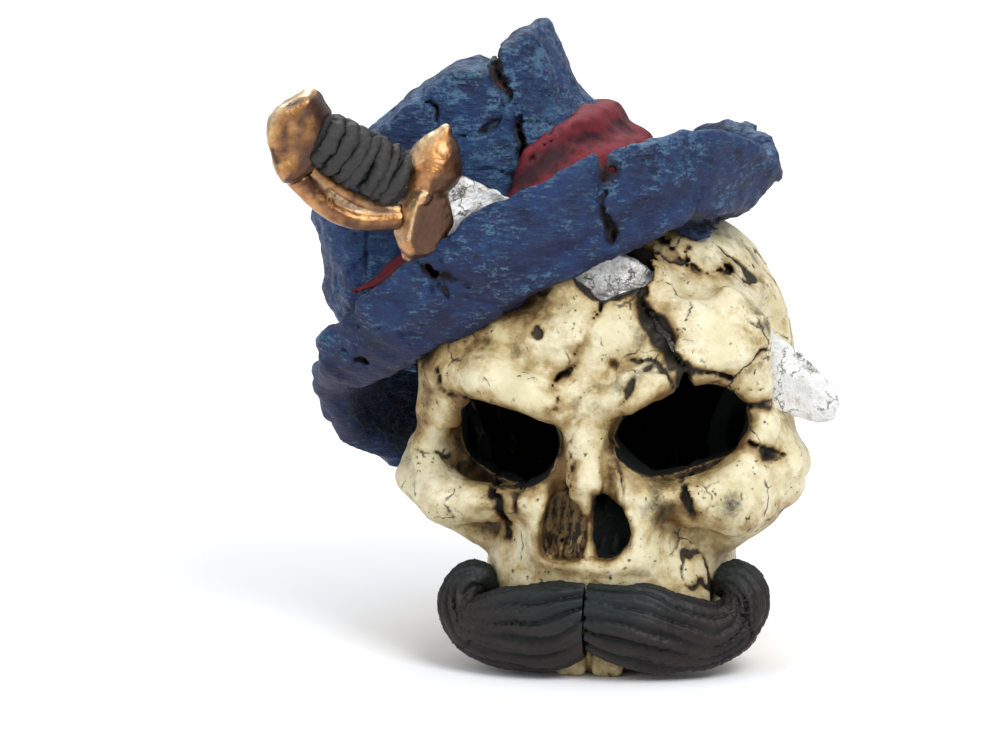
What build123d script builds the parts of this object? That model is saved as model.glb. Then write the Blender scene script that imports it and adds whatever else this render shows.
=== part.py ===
"""Bubbling skull ornament for an aquarium, in millimetres.

+Z is up, the face looks along -Y and +X is the viewer's right. The origin is on the resting face,
under the middle of the skull. Hollow cold-cast resin pieces are glued together, and a small air
stone on a screwed base plate bubbles through the eyes.
"""

import os
from math import cos, pi, radians, sin

from build123d import *

# Clearances
GLUE_GAP = 0.3          # between curved resin castings
FIT_GAP = 0.1           # between machined or moulded plain pieces
RUNNING_GAP = 0.05      # radial, between a plain stem and a bore

# Skull: each level is (height, half width, front, back, widest place)
SKULL_LEVELS = (
    (0, 35, -45, 44, -8),
    (20, 36, -47, 50, -6),
    (36, 41, -46, 53, -2),
    (56, 46, -43, 55, 2),
    (76, 46, -42, 56, 6),
    (92, 41, -37, 50, 8),
    (104, 33, -27, 40, 8),
    (112, 21, -14, 28, 8),
    (116, 10, -3, 18, 8),
)
WALL = 6.0
MAXILLA = dict(at=(0, -38, 19), size=(25, 12, 26))
BROW = dict(at=(21, -35, 75), size=(20, 10, 6.5), slant=16)
CHEEK = dict(at=(35, -21, 46), size=(16.5, 20, 12))

# Eye sockets: place of the centre, half width and half height at the face, slant in degrees
LEFT_EYE = dict(x=-22.5, z=60, half_w=12.5, half_h=9.8, slant=-10)
RIGHT_EYE = dict(x=22.5, z=62, half_w=15, half_h=11, slant=10)
EYE_TAPER = 0.84        # size at the inner end against the face
EYE_FRONT_Y = -58
EYE_BACK_Y = -18
NOSTRIL = dict(x=6.2, z=38, half_w=3.9, half_h=7, slant=12, depth=4)

# Incisors
TOOTH_W = 8.2
TOOTH_D = 7
TOOTH_H = 12
TOOTH_X = 4.5
TOOTH_FRONT_Y = -50
TOOTH_EDGE_R = 1.5

# Moustache: each section is (x, y, z, half height, half thickness) for the right half
MOUSTACHE_SECTIONS = (
    (0.8, -52.5, 12.6, 9, 3.6),
    (7, -53.6, 13.4, 12.2, 6.6),
    (14, -52.8, 13.3, 12.6, 7.4),
    (23, -49, 11.2, 10.6, 7.2),
    (31, -43, 9.6, 9.0, 6.8),
    (38, -34.5, 10.6, 8.8, 6.2),
    (42, -27.5, 13, 7.4, 4.8),
)

# Hat: a tilted frame whose own +Z is the crown's axis
HAT_ORIGIN = (-17, 4, 97)
HAT_TILT = 23.3
CROWN_LEVELS = (  # (height, middle x, radius along x, radius along y)
    (0, -11, 46, 41),
    (17, -11, 44.5, 40),
    (30, -12.5, 41, 38),
    (39, -14, 38.5, 36),
    (47, -8, 32, 31),
    (53, 1, 23, 24),
    (58, 12, 11, 15),
)
CROWN_WALL = 5.0
PEAK = dict(at=(17, -3, 52), size=(8.5, 13, 10))
BAND_LOW = 17
BAND_HIGH = 36
BAND_THICK = 2.4
BRIM_LEVELS = (  # (height, radius along x, radius along y), from the foot of the turned-up wall
    (-12, 46, 38),
    (-5, 57, 46),
    (4, 62, 50),
    (14, 64, 52),
    (32, 65, 53),
)
BRIM_WALL = 6.0
BRIM_FLOOR = 8
BRIM_CREST_R = 112       # the wall's top edge is an arc seen from the front
BRIM_CREST = (12, 25)    # place along x and height of the arc's highest point
FLAP_TOP = 2
FLAP_LOW = -33
FLAP_THICK = 6
FLAP_TOP_R = (62, 50)
FLAP_LOW_R = (62, 56)
FLAP_MAX_X = -22
FLAP_MIN_Y = -14

# Sword: from the guard towards the tip, with the flat facing forward
GUARD_AT = Vector(-42, -44, 124)
SWORD_DIR = Vector(0.846, 0.245, -0.473).normalized()
BLADE_LENGTH = 122
BLADE_HALF_W = 8.5
BLADE_THICK = 4.4
BLADE_POINT = 26        # length of the clipped point
BLADE_EDGE = 1.2        # chamfer along the long edges
GUARD_HALF = 18.5
GUARD_R = 6.2
GUARD_WAIST_R = 4.2
GUARD_DIR = Vector(0.22, 0.05, 0.97).normalized()
GRIP_START = 5.0
GRIP_END = 30.5
GRIP_R = 6.4
GRIP_RIBS = 7
RIB_DEPTH = 1.0
TANG_R = 1.5
TANG_INTO_BLADE = 8.0
TANG_INTO_POMMEL = 8.0
POMMEL_OUTLINE = ((0, -6), (3.5, -10), (8, -11), (15, -2), (13, 6), (8, 9.5), (1, 6))
POMMEL_THICK = 11
POMMEL_EDGE_R = 2.5
BOW_PATH = ((6, 10.8), (16, 14.6), (27, 13.8), (36, 8.8))     # (along the grip, away from the grip)
BOW_HALF_W = 3.2
BOW_HALF_T = 2.0

# Base plate, screws and bosses
PLATE_LIFT = 1.5
PLATE_THICK = 4.0
BOSS_R = 4.8
BOSS_H = 14
BOSS_PLACES = ((18, -25), (-18, -25), (15, 24), (-15, 24))
SCREW_R = 1.5
SCREW_LENGTH = 11
SCREW_HEAD_R = 2.9
SCREW_HEAD_H = 1.6
WATER_SLOT = (14, 5)
WATER_SLOT_X = 19
WATER_SLOT_Y = (-9, 9)

# Air stone, clip, airline and inlet, all on one axis along Y
AIR_Z = 17.0
STONE_R = 7.0
STONE_LENGTH = 28
STONE_FRONT_Y = -24
STONE_EDGE = 0.8
STEM_R = 2.25
STEM_BORE_R = 1.2
STEM_LENGTH = 12
STEM_INTO_STONE = 6
STEM_COLLAR_R = 3.6
STEM_COLLAR_H = 2
CLIP_WALL = 1.8
CLIP_WIDTH = 9
CLIP_GAP_DEG = 110
CLIP_FOOT = (28, 9, 2.4)
CLIP_SCREW_X = 11
CLIP_SCREW_R = 1.1
CLIP_SCREW_LENGTH = 4.5
CLIP_SCREW_HEAD = (2.1, 1.3)
TUBE_WALL = 1.0
TUBE_OVERLAP = 9        # how far the tube goes over the stem and over the inlet
SPOTFACE = 2.0
WEB = 3.4               # wall left under the grommet
GROMMET_HOLE_R = 4.2
GROMMET_FLANGE_R = 6.0
GROMMET_FLANGE_T = 1.4
INLET_FLANGE_R = 4.6
INLET_FLANGE_T = 1.6
INLET_STUB = 12
INLET_INNER = 16


def level_face(level, grow=0.0, height=None):
    """One skull level as a flat face, grown outwards or, if negative, inwards."""
    z, half_w, front, back, widest = level
    halves = []
    for reach, start in ((back - widest, 0), (widest - front, 180)):
        arc = EllipticalCenterArc((0, 0), half_w + grow, reach + grow, start, arc_size=180)
        halves.append(arc)
    return Pos(0, widest, z if height is None else height) * make_face(halves[0] + halves[1])


def lump(at, size, grow=0.0, slant=0.0):
    """Ellipsoid that fills out the outer form."""
    return Pos(*at) * Rot(0, slant, 0) * scale(Sphere(1), by=tuple(s + grow for s in size))


def skull_solid(grow=0.0):
    """The whole outer form of the skull, with no hollow."""
    levels = [level_face(level, grow) for level in SKULL_LEVELS]
    if grow > 0:
        top = SKULL_LEVELS[-1]
        levels[-1] = level_face(top, grow, top[0] + grow)
    body = loft(levels)
    body += lump(MAXILLA["at"], MAXILLA["size"], grow) - Pos(0, 0, -50 - grow) * Box(200, 200, 100)
    for side in (-1, 1):
        for piece in (CHEEK, BROW):
            x, y, z = piece["at"]
            body += lump((side * x, y, z), piece["size"], grow, -side * piece.get("slant", 0))
    return body


def skull_hollow():
    """The room inside the skull, open underneath."""
    levels = [level_face(level, -WALL) for level in SKULL_LEVELS[1:-2]]
    lid = SKULL_LEVELS[-2]
    levels.append(level_face(lid, -WALL, lid[0] - WALL * 0.4))
    foot = level_face(SKULL_LEVELS[0], -WALL, -1)
    return loft([foot, *levels])


def socket(eye, wider=0.0):
    """Tapered elliptical cutter for an eye."""
    faces = []
    for y, share in ((EYE_FRONT_Y, 1.0), (EYE_BACK_Y, EYE_TAPER)):
        ellipse = Ellipse((eye["half_w"] + wider) * share, (eye["half_h"] + wider) * share)
        faces.append(Plane((eye["x"], y, eye["z"]), x_dir=(1, 0, 0), z_dir=(0, -1, 0))
                     * Rot(0, 0, eye["slant"]) * ellipse)
    return loft(faces)


def nostril(side, front):
    """Blind recess beside the nasal septum."""
    at = Plane((side * NOSTRIL["x"], front - 6, NOSTRIL["z"]), x_dir=(1, 0, 0), z_dir=(0, 1, 0))
    ellipse = Rot(0, 0, side * NOSTRIL["slant"]) * Ellipse(NOSTRIL["half_w"], NOSTRIL["half_h"])
    return extrude(at * ellipse, NOSTRIL["depth"] + 6)


def along_y(y_low, y_high, radius, x=0.0, z=AIR_Z):
    """Round bar along Y between two places."""
    return Pos(x, (y_low + y_high) / 2, z) * Rot(90, 0, 0) * Cylinder(radius, y_high - y_low)


def upright(x, y, z_low, z_high, radius):
    """Round bar along Z between two heights."""
    return Pos(x, y, (z_low + z_high) / 2) * Cylinder(radius, z_high - z_low)


def level_value(z, column):
    """A skull level's value at any height, straight between the levels."""
    for low, high in zip(SKULL_LEVELS, SKULL_LEVELS[1:]):
        if low[0] <= z <= high[0]:
            share = (z - low[0]) / (high[0] - low[0])
            return low[column] + share * (high[column] - low[column])
    return SKULL_LEVELS[-1][column]


# Places that several pieces share
PLATE_TOP = PLATE_LIFT + PLATE_THICK
WEB_OUT = level_value(AIR_Z, 3) - SPOTFACE
WEB_IN = WEB_OUT - WEB
STONE_BACK_Y = STONE_FRONT_Y + STONE_LENGTH
STEM_BACK_Y = STONE_BACK_Y + STEM_LENGTH
INLET_IN_Y = WEB_IN - INLET_INNER
TUBE_FRONT_Y = STEM_BACK_Y - TUBE_OVERLAP
TUBE_BACK_Y = INLET_IN_Y + TUBE_OVERLAP
NOSE_FRONT = level_value(NOSTRIL["z"], 2)
SWORD_UP = (Vector(0, 0, 1) - SWORD_DIR * SWORD_DIR.Z).normalized()
SWORD = Plane(GUARD_AT, x_dir=SWORD_DIR, z_dir=SWORD_DIR.cross(SWORD_UP))
HAT = Plane(HAT_ORIGIN, x_dir=(cos(radians(HAT_TILT)), 0, sin(radians(HAT_TILT))),
            z_dir=(-sin(radians(HAT_TILT)), 0, cos(radians(HAT_TILT))))


# Skull ------------------------------------------------------------------------------------------

def blade_shape(grow=0.0):
    """The blade, or the slot that it is glued into."""
    half, tip = BLADE_HALF_W + grow, BLADE_LENGTH + grow
    edge = [(3, -half * 0.8), (BLADE_POINT, -half), (tip - BLADE_POINT * 0.55, -half),
            (tip - 3, -half * 0.55), (tip, -half * 0.2), (tip - 3, half * 0.15),
            (tip - BLADE_POINT, half), (3, half)]
    flat = make_face(Polyline(*edge, close=True))
    solid = extrude(SWORD * flat, (BLADE_THICK / 2 + grow), both=True)
    if grow:
        return solid
    long_edges = solid.edges().filter_by(lambda e: e.length > BLADE_POINT * 1.5)
    return chamfer(long_edges, BLADE_EDGE)


def tooth(side, grow=0.0):
    block = Box(TOOTH_W + 2 * grow, TOOTH_D + 2 * grow, TOOTH_H + 2 * grow)
    if not grow:
        block = fillet(block.edges().filter_by(Axis.Z), TOOTH_EDGE_R)
    return Pos(side * TOOTH_X, TOOTH_FRONT_Y + TOOTH_D / 2, TOOTH_H / 2) * block


def make_skull():
    form = skull_solid()
    shell = form - skull_hollow()
    pocket = level_face(SKULL_LEVELS[0], -WALL - GLUE_GAP, -1)
    shell -= extrude(pocket, PLATE_TOP + 1)
    for x, y in BOSS_PLACES:
        boss = upright(x, y, PLATE_TOP, PLATE_TOP + BOSS_H, BOSS_R) & form
        shell += boss
    for x, y in BOSS_PLACES:
        shell -= upright(x, y, 0, PLATE_LIFT + SCREW_HEAD_H + SCREW_LENGTH + 1, SCREW_R + RUNNING_GAP)
    for eye in (LEFT_EYE, RIGHT_EYE):
        shell -= socket(eye)
    for side in (-1, 1):
        shell -= nostril(side, NOSE_FRONT)
        shell -= tooth(side, FIT_GAP)
    shell -= along_y(WEB_OUT, WEB_OUT + 30, GROMMET_FLANGE_R + 1)
    shell -= along_y(WEB_IN - 20, WEB_IN, GROMMET_FLANGE_R + 1)
    shell -= along_y(WEB_IN - 5, WEB_OUT + 5, GROMMET_HOLE_R)
    shell -= blade_shape(FIT_GAP)
    return shell


def make_plate():
    face = level_face(SKULL_LEVELS[0], -WALL - GLUE_GAP * 2, PLATE_LIFT)
    plate = extrude(face, PLATE_THICK)
    for x in (-WATER_SLOT_X, WATER_SLOT_X):
        for y in WATER_SLOT_Y:
            slot = Rot(0, 0, 90) * SlotOverall(*WATER_SLOT)
            plate -= extrude(Pos(x, y, 0) * slot, PLATE_TOP + 1)
    for x, y in BOSS_PLACES:
        plate -= upright(x, y, 0, PLATE_TOP + 1, SCREW_R + FIT_GAP)
        plate -= upright(x, y, 0, PLATE_LIFT + SCREW_HEAD_H, SCREW_HEAD_R + FIT_GAP)
    for side in (-1, 1):
        plate -= tooth(side, FIT_GAP)
        plate -= upright(side * CLIP_SCREW_X, CLIP_Y, CLIP_TOP - CLIP_SCREW_LENGTH - 0.5, PLATE_TOP + 1,
                         CLIP_SCREW_R + RUNNING_GAP)
    return plate


def screw(x, y, head_low, length, radius, head_r, head_h, up):
    """Plain screw with a pan head; up is 1 if its point is uppermost."""
    head = upright(x, y, head_low, head_low + head_h, head_r)
    if up > 0:
        return head + upright(x, y, head_low + head_h, head_low + head_h + length, radius)
    return head + upright(x, y, head_low - length, head_low, radius)


# Hat --------------------------------------------------------------------------------------------

def hat_ring(height, middle, rx, ry, grow=0.0):
    return HAT * Pos(middle, 0, height) * Ellipse(rx + grow, ry + grow)


def crown_form(grow=0.0, low=None, high=None):
    """The crown's outer form, or a slab of it."""
    form = loft([hat_ring(*level, grow) for level in CROWN_LEVELS])
    if low is None:
        return form
    side = 8 * CROWN_LEVELS[0][2]
    return form & (HAT * Pos(0, 0, (low + high) / 2) * Box(side, side, high - low))


def make_crown(seat):
    crown = crown_form() + HAT.location * lump(PEAK["at"], PEAK["size"])
    lid = CROWN_LEVELS[-2]
    inner = [hat_ring(-1, *CROWN_LEVELS[0][1:], -CROWN_WALL)]
    inner += [hat_ring(*level, -CROWN_WALL) for level in CROWN_LEVELS[1:-2]]
    inner.append(hat_ring(lid[0] - CROWN_WALL * 0.5, *lid[1:], -CROWN_WALL))
    return crown - loft(inner) - seat - blade_shape(FIT_GAP) - guard_shape(FIT_GAP)


def make_band():
    slab = crown_form(BAND_THICK + FIT_GAP, BAND_LOW, BAND_HIGH) - crown_form(FIT_GAP)
    slot, guard = blade_shape(FIT_GAP), guard_shape(FIT_GAP)
    return slab - slot - guard


def make_brim(seat):
    """Turned-up bowl with an arched edge, and a flap that hangs behind the left temple."""
    bowl = loft([hat_ring(z, 0, rx, ry) for z, rx, ry in BRIM_LEVELS])
    room = [(BRIM_FLOOR, BRIM_LEVELS[2][1], BRIM_LEVELS[2][2])] + list(BRIM_LEVELS[3:])
    bowl -= loft([hat_ring(z, 0, rx, ry, -BRIM_WALL) for z, rx, ry in room])
    arch = Plane.XZ * Pos(BRIM_CREST[0], BRIM_CREST[1] - BRIM_CREST_R) * Circle(BRIM_CREST_R)
    disc = bowl & HAT.location * extrude(arch, 2 * BRIM_LEVELS[-1][2], both=True)
    outer = loft([hat_ring(FLAP_TOP, 0, *FLAP_TOP_R), hat_ring(FLAP_LOW, 0, *FLAP_LOW_R)])
    inner = loft([hat_ring(FLAP_TOP, 0, *FLAP_TOP_R, -FLAP_THICK),
                  hat_ring(FLAP_LOW, 0, *FLAP_LOW_R, -FLAP_THICK)])
    reach = 2 * FLAP_TOP_R[0]
    keep = HAT * Pos(FLAP_MAX_X - reach / 2, FLAP_MIN_Y + reach / 2, 0) * Box(reach, reach, 2 * reach)
    disc += (outer - inner) & keep
    crown = crown_form(GLUE_GAP)
    return disc - crown - seat - blade_shape(FIT_GAP) - guard_shape(FIT_GAP)


# Moustache --------------------------------------------------------------------------------------

def make_moustache(side, seat):
    """One half, glued to the jaw; the sections stand square to the run of the hair."""
    centres = [Vector(side * x, y, z) for x, y, z, _, _ in MOUSTACHE_SECTIONS]
    faces = []
    for k, (_, _, _, half_h, half_t) in enumerate(MOUSTACHE_SECTIONS):
        ahead = centres[min(k + 1, len(centres) - 1)] - centres[max(k - 1, 0)]
        run = Vector(ahead.X, ahead.Y, 0).normalized()
        if k == 0:
            run = Vector(side, 0, 0)
        faces.append(Plane(centres[k], x_dir=(0, 0, 1), z_dir=run) * Ellipse(half_h, half_t))
    half = loft(faces)
    for tooth_side in (-1, 1):
        half -= tooth(tooth_side, FIT_GAP)
    return half - seat


# Sword ------------------------------------------------------------------------------------------

def guard_plane():
    return Plane(GUARD_AT, x_dir=GUARD_DIR.cross(Vector(0, 1, 0)).normalized(), z_dir=GUARD_DIR)


def guard_shape(grow=0.0):
    """Two pear-shaped lobes on one axis."""
    half, big, waist = GUARD_HALF + grow, GUARD_R + grow, GUARD_WAIST_R + grow
    profile = Spline((0, -half), (big * 0.62, -half * 0.72), (big, -half * 0.38), (waist, 0),
                     (big, half * 0.38), (big * 0.62, half * 0.72), (0, half))
    face = make_face(profile + Line((0, half), (0, -half)))
    upright_face = Plane.XZ * face
    lobes = revolve(upright_face, Axis.Z)
    return guard_plane().location * lobes


def sword_bar(start, end, radius):
    """Round bar on the sword's axis; start and end count from the guard towards the tip."""
    middle = SWORD_DIR * ((start + end) / 2) + GUARD_AT
    return Plane(middle, z_dir=SWORD_DIR) * Cylinder(radius, end - start)


def make_guard():
    return guard_shape() - blade_shape(FIT_GAP) - sword_bar(-20, 20, TANG_R + FIT_GAP)


def make_grip():
    """Ribbed round grip with a hole for the tang."""
    length = GRIP_END - GRIP_START
    pitch = length / GRIP_RIBS
    bore = TANG_R + FIT_GAP
    points = [(bore, 0), (GRIP_R - RIB_DEPTH, 0)]
    for k in range(GRIP_RIBS):
        points += [(GRIP_R, (k + 0.25) * pitch), (GRIP_R, (k + 0.75) * pitch),
                   (GRIP_R - RIB_DEPTH, (k + 1) * pitch)]
    points.append((bore, length))
    profile = Plane.XZ * make_face(Polyline(*points, close=True))
    grip = revolve(profile, Axis.Z)
    foot = GUARD_AT - SWORD_DIR * GRIP_END
    grip = Plane(foot, z_dir=SWORD_DIR).location * grip
    return grip - guard_shape(FIT_GAP) - blade_shape(FIT_GAP)


def make_pommel():
    points = [(-(GRIP_END + FIT_GAP + along), -across) for along, across in POMMEL_OUTLINE]
    face = SWORD * make_face(Polyline(*points, close=True))
    pommel = extrude(face, POMMEL_THICK / 2, both=True)
    rims = [e for e in pommel.edges() if abs(e.tangent_at(0.5).dot(SWORD.z_dir)) < 0.1]
    pommel = fillet(rims, POMMEL_EDGE_R)
    return pommel - sword_bar(-GRIP_END - TANG_INTO_POMMEL - FIT_GAP, 0, TANG_R + FIT_GAP)


def make_bow(pommel_room, guard_room, grip_room):
    """Curved strap from the guard round to the pommel."""
    points = [SWORD.from_local_coords(Vector(-along, -across, 0)) for along, across in BOW_PATH]
    path = Spline(*points)
    start = Plane(path @ 0, x_dir=SWORD.z_dir, z_dir=path % 0)
    strap = sweep(start * Ellipse(BOW_HALF_W, BOW_HALF_T), path=path)
    return strap - pommel_room - guard_room - grip_room


# Air side ---------------------------------------------------------------------------------------

CLIP_Y = STONE_FRONT_Y + STONE_LENGTH / 2
CLIP_TOP = PLATE_TOP + CLIP_FOOT[2]


def make_stone():
    stone = chamfer(along_y(STONE_FRONT_Y, STONE_BACK_Y, STONE_R).edges(), STONE_EDGE)
    return stone - along_y(STONE_BACK_Y - STEM_INTO_STONE, STONE_BACK_Y + 1, STEM_R)


def make_stem():
    stem = along_y(STONE_BACK_Y - STEM_INTO_STONE, STEM_BACK_Y, STEM_R)
    stem += along_y(STONE_BACK_Y, STONE_BACK_Y + STEM_COLLAR_H - FIT_GAP, STEM_COLLAR_R)
    return stem - along_y(STONE_BACK_Y - STEM_INTO_STONE - 1, STEM_BACK_Y + 1, STEM_BORE_R)


def make_clip():
    """Open spring clip on a flat foot."""
    inner = STONE_R + FIT_GAP
    ring = along_y(CLIP_Y - CLIP_WIDTH / 2, CLIP_Y + CLIP_WIDTH / 2, inner + CLIP_WALL)
    mouth = Polyline((0, 0), (30 * sin(radians(CLIP_GAP_DEG / 2)), 30 * cos(radians(CLIP_GAP_DEG / 2))),
                     (0, 40), (-30 * sin(radians(CLIP_GAP_DEG / 2)), 30 * cos(radians(CLIP_GAP_DEG / 2))),
                     close=True)
    wedge = extrude(Plane((0, CLIP_Y, AIR_Z), x_dir=(1, 0, 0), z_dir=(0, -1, 0)) * make_face(mouth),
                    CLIP_WIDTH, both=True)
    foot = Pos(0, CLIP_Y, PLATE_TOP + CLIP_FOOT[2] / 2) * Box(*CLIP_FOOT)
    post_top = AIR_Z - inner - CLIP_WALL / 2
    post = Pos(0, CLIP_Y, (PLATE_TOP + post_top) / 2) * Box(6, CLIP_WIDTH, post_top - PLATE_TOP)
    clip = (ring - wedge) + foot + post
    clip -= along_y(CLIP_Y - CLIP_WIDTH, CLIP_Y + CLIP_WIDTH, inner)
    for side in (-1, 1):
        clip -= upright(side * CLIP_SCREW_X, CLIP_Y, PLATE_TOP - 1, CLIP_TOP + 5, CLIP_SCREW_R + RUNNING_GAP)
    return clip


def make_tube():
    bore = STEM_R + RUNNING_GAP
    tube = along_y(TUBE_FRONT_Y, TUBE_BACK_Y, bore + TUBE_WALL)
    return tube - along_y(TUBE_FRONT_Y - 1, TUBE_BACK_Y + 1, bore)


def make_grommet():
    grommet = along_y(WEB_IN, WEB_OUT, GROMMET_HOLE_R)
    for low in (WEB_IN - GROMMET_FLANGE_T, WEB_OUT):
        grommet += along_y(low, low + GROMMET_FLANGE_T, GROMMET_FLANGE_R)
    return grommet - along_y(WEB_IN - 10, WEB_OUT + 10, STEM_R)


def make_inlet():
    flange_low = WEB_OUT + GROMMET_FLANGE_T
    inlet = along_y(INLET_IN_Y, flange_low + INLET_FLANGE_T + INLET_STUB, STEM_R)
    inlet += along_y(flange_low, flange_low + INLET_FLANGE_T, INLET_FLANGE_R)
    return inlet - along_y(INLET_IN_Y - 1, flange_low + 60, STEM_BORE_R)


def make_parts():
    seat = skull_solid(GLUE_GAP)
    pommel, guard, grip = make_pommel(), make_guard(), make_grip()
    gap = FIT_GAP
    guard_room = guard_shape(gap)
    grip_room = sword_bar(-GRIP_END - gap, -GRIP_START, GRIP_R + gap)
    return {
        "skull_shell": make_skull(),
        "incisors": Compound(children=[tooth(side) for side in (-1, 1)]),
        "moustache_left": make_moustache(-1, seat),
        "moustache_right": make_moustache(1, seat),
        "hat_crown": make_crown(seat),
        "hat_band": make_band() - seat,
        "hat_brim": make_brim(seat),
        "sword_blade": blade_shape() - sword_bar(-1, TANG_INTO_BLADE + gap, TANG_R + gap),
        "sword_guard": guard,
        "sword_grip": grip,
        "sword_pommel": pommel,
        "knuckle_bow": make_bow(pommel, guard_room, grip_room),
        "sword_tang": sword_bar(-GRIP_END - TANG_INTO_POMMEL, TANG_INTO_BLADE, TANG_R),
        "base_plate": make_plate(),
        "base_screws": Compound(children=[
            screw(x, y, PLATE_LIFT, SCREW_LENGTH, SCREW_R, SCREW_HEAD_R, SCREW_HEAD_H, 1)
            for x, y in BOSS_PLACES]),
        "stone_clip": make_clip(),
        "clip_screws": Compound(children=[
            screw(side * CLIP_SCREW_X, CLIP_Y, CLIP_TOP, CLIP_SCREW_LENGTH, CLIP_SCREW_R,
                  *CLIP_SCREW_HEAD, -1) for side in (-1, 1)]),
        "air_stone": make_stone(),
        "stone_stem": make_stem(),
        "inner_airline": make_tube(),
        "inlet_grommet": make_grommet(),
        "air_inlet": make_inlet(),
    }


os.makedirs("parts", exist_ok=True)
for name, shape in make_parts().items():
    export_step(shape, f"parts/{name}.step")
    print(f"{name}: {len(shape.solids())} solids, {shape.volume / 1000:.1f} cm3")
print(f"air inlet stub from y={WEB_OUT + GROMMET_FLANGE_T + INLET_FLANGE_T:.2f} on x=0, z={AIR_Z}")
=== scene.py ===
"""Looks of the bubbling skull ornament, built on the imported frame.

Sizes in the sections are in millimetres.
"""

from math import cos, radians, sin

import bpy
import numpy as np
from mathutils import Euler, Matrix, Vector


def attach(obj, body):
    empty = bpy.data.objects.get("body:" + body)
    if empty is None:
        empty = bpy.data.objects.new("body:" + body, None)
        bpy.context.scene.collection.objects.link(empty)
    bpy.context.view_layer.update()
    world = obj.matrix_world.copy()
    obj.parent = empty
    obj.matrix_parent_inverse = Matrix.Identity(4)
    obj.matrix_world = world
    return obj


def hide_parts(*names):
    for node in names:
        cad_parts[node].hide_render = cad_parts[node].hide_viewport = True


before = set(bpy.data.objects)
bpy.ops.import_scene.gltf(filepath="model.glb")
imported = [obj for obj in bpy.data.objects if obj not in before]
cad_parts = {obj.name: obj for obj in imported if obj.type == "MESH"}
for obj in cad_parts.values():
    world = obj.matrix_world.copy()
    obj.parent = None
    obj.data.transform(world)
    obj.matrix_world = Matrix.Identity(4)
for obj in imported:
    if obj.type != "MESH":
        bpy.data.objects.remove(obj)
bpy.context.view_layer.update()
MM = 0.001


# Camera -----------------------------------------
# It stands a little above the ornament and to the viewer's right of it, far enough away for
# nearly parallel lines.

azimuth, elevation = radians(8), radians(12)
camera_away = Vector((sin(azimuth) * cos(elevation), -cos(azimuth) * cos(elevation), sin(elevation)))
camera_target = Vector((-31.1, 9.7, 65.6)) * MM
camera_distance = 3.0
camera_data = bpy.data.cameras.new("camera")
camera_data.lens = 415
camera_data.sensor_width = 36
camera = bpy.data.objects.new("camera", camera_data)
camera.location = camera_target + camera_away * camera_distance
camera.rotation_euler = (-camera_away).to_track_quat("-Z", "Y").to_euler()
bpy.context.scene.collection.objects.link(camera)
bpy.context.scene.camera = camera
bpy.context.scene.view_settings.view_transform = "Standard"


# Floor and light --------------------------------
# A pale matt sheet under soft lamps: a large key from the upper right, a fill from the left and
# a rim from behind.

class Wire:
    """A shader value that can be added, multiplied and so on with numbers and other values."""

    def __init__(self, finish, socket):
        self.finish, self.socket = finish, socket

    def _maths(self, operation, *values, clamp=False):
        settings = {"operation": operation, "use_clamp": clamp}
        return self.finish.node("ShaderNodeMath", settings, dict(enumerate(values)))

    def __add__(self, other):
        return self._maths("ADD", self, other)

    def __sub__(self, other):
        return self._maths("SUBTRACT", self, other)

    def __rsub__(self, other):
        return self._maths("SUBTRACT", other, self)

    def __mul__(self, other):
        return self._maths("MULTIPLY", self, other)

    __radd__, __rmul__ = __add__, __mul__

    def warp(self, at, reach):
        """A place moved about by this colour."""
        def vector(operation, values):
            return self.finish.node("ShaderNodeVectorMath", {"operation": operation}, values)

        middle = vector("SUBTRACT", {0: self, 1: (0.5, 0.5, 0.5)})
        return vector("ADD", {0: at, 1: vector("SCALE", {0: middle, "Scale": reach})})

    def clear(self, low, high):
        """0 below low, 1 above high and a straight rise between them."""
        span = high - low
        return self._maths("MULTIPLY_ADD", self, 1 / span, -low / span, clamp=True)


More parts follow.
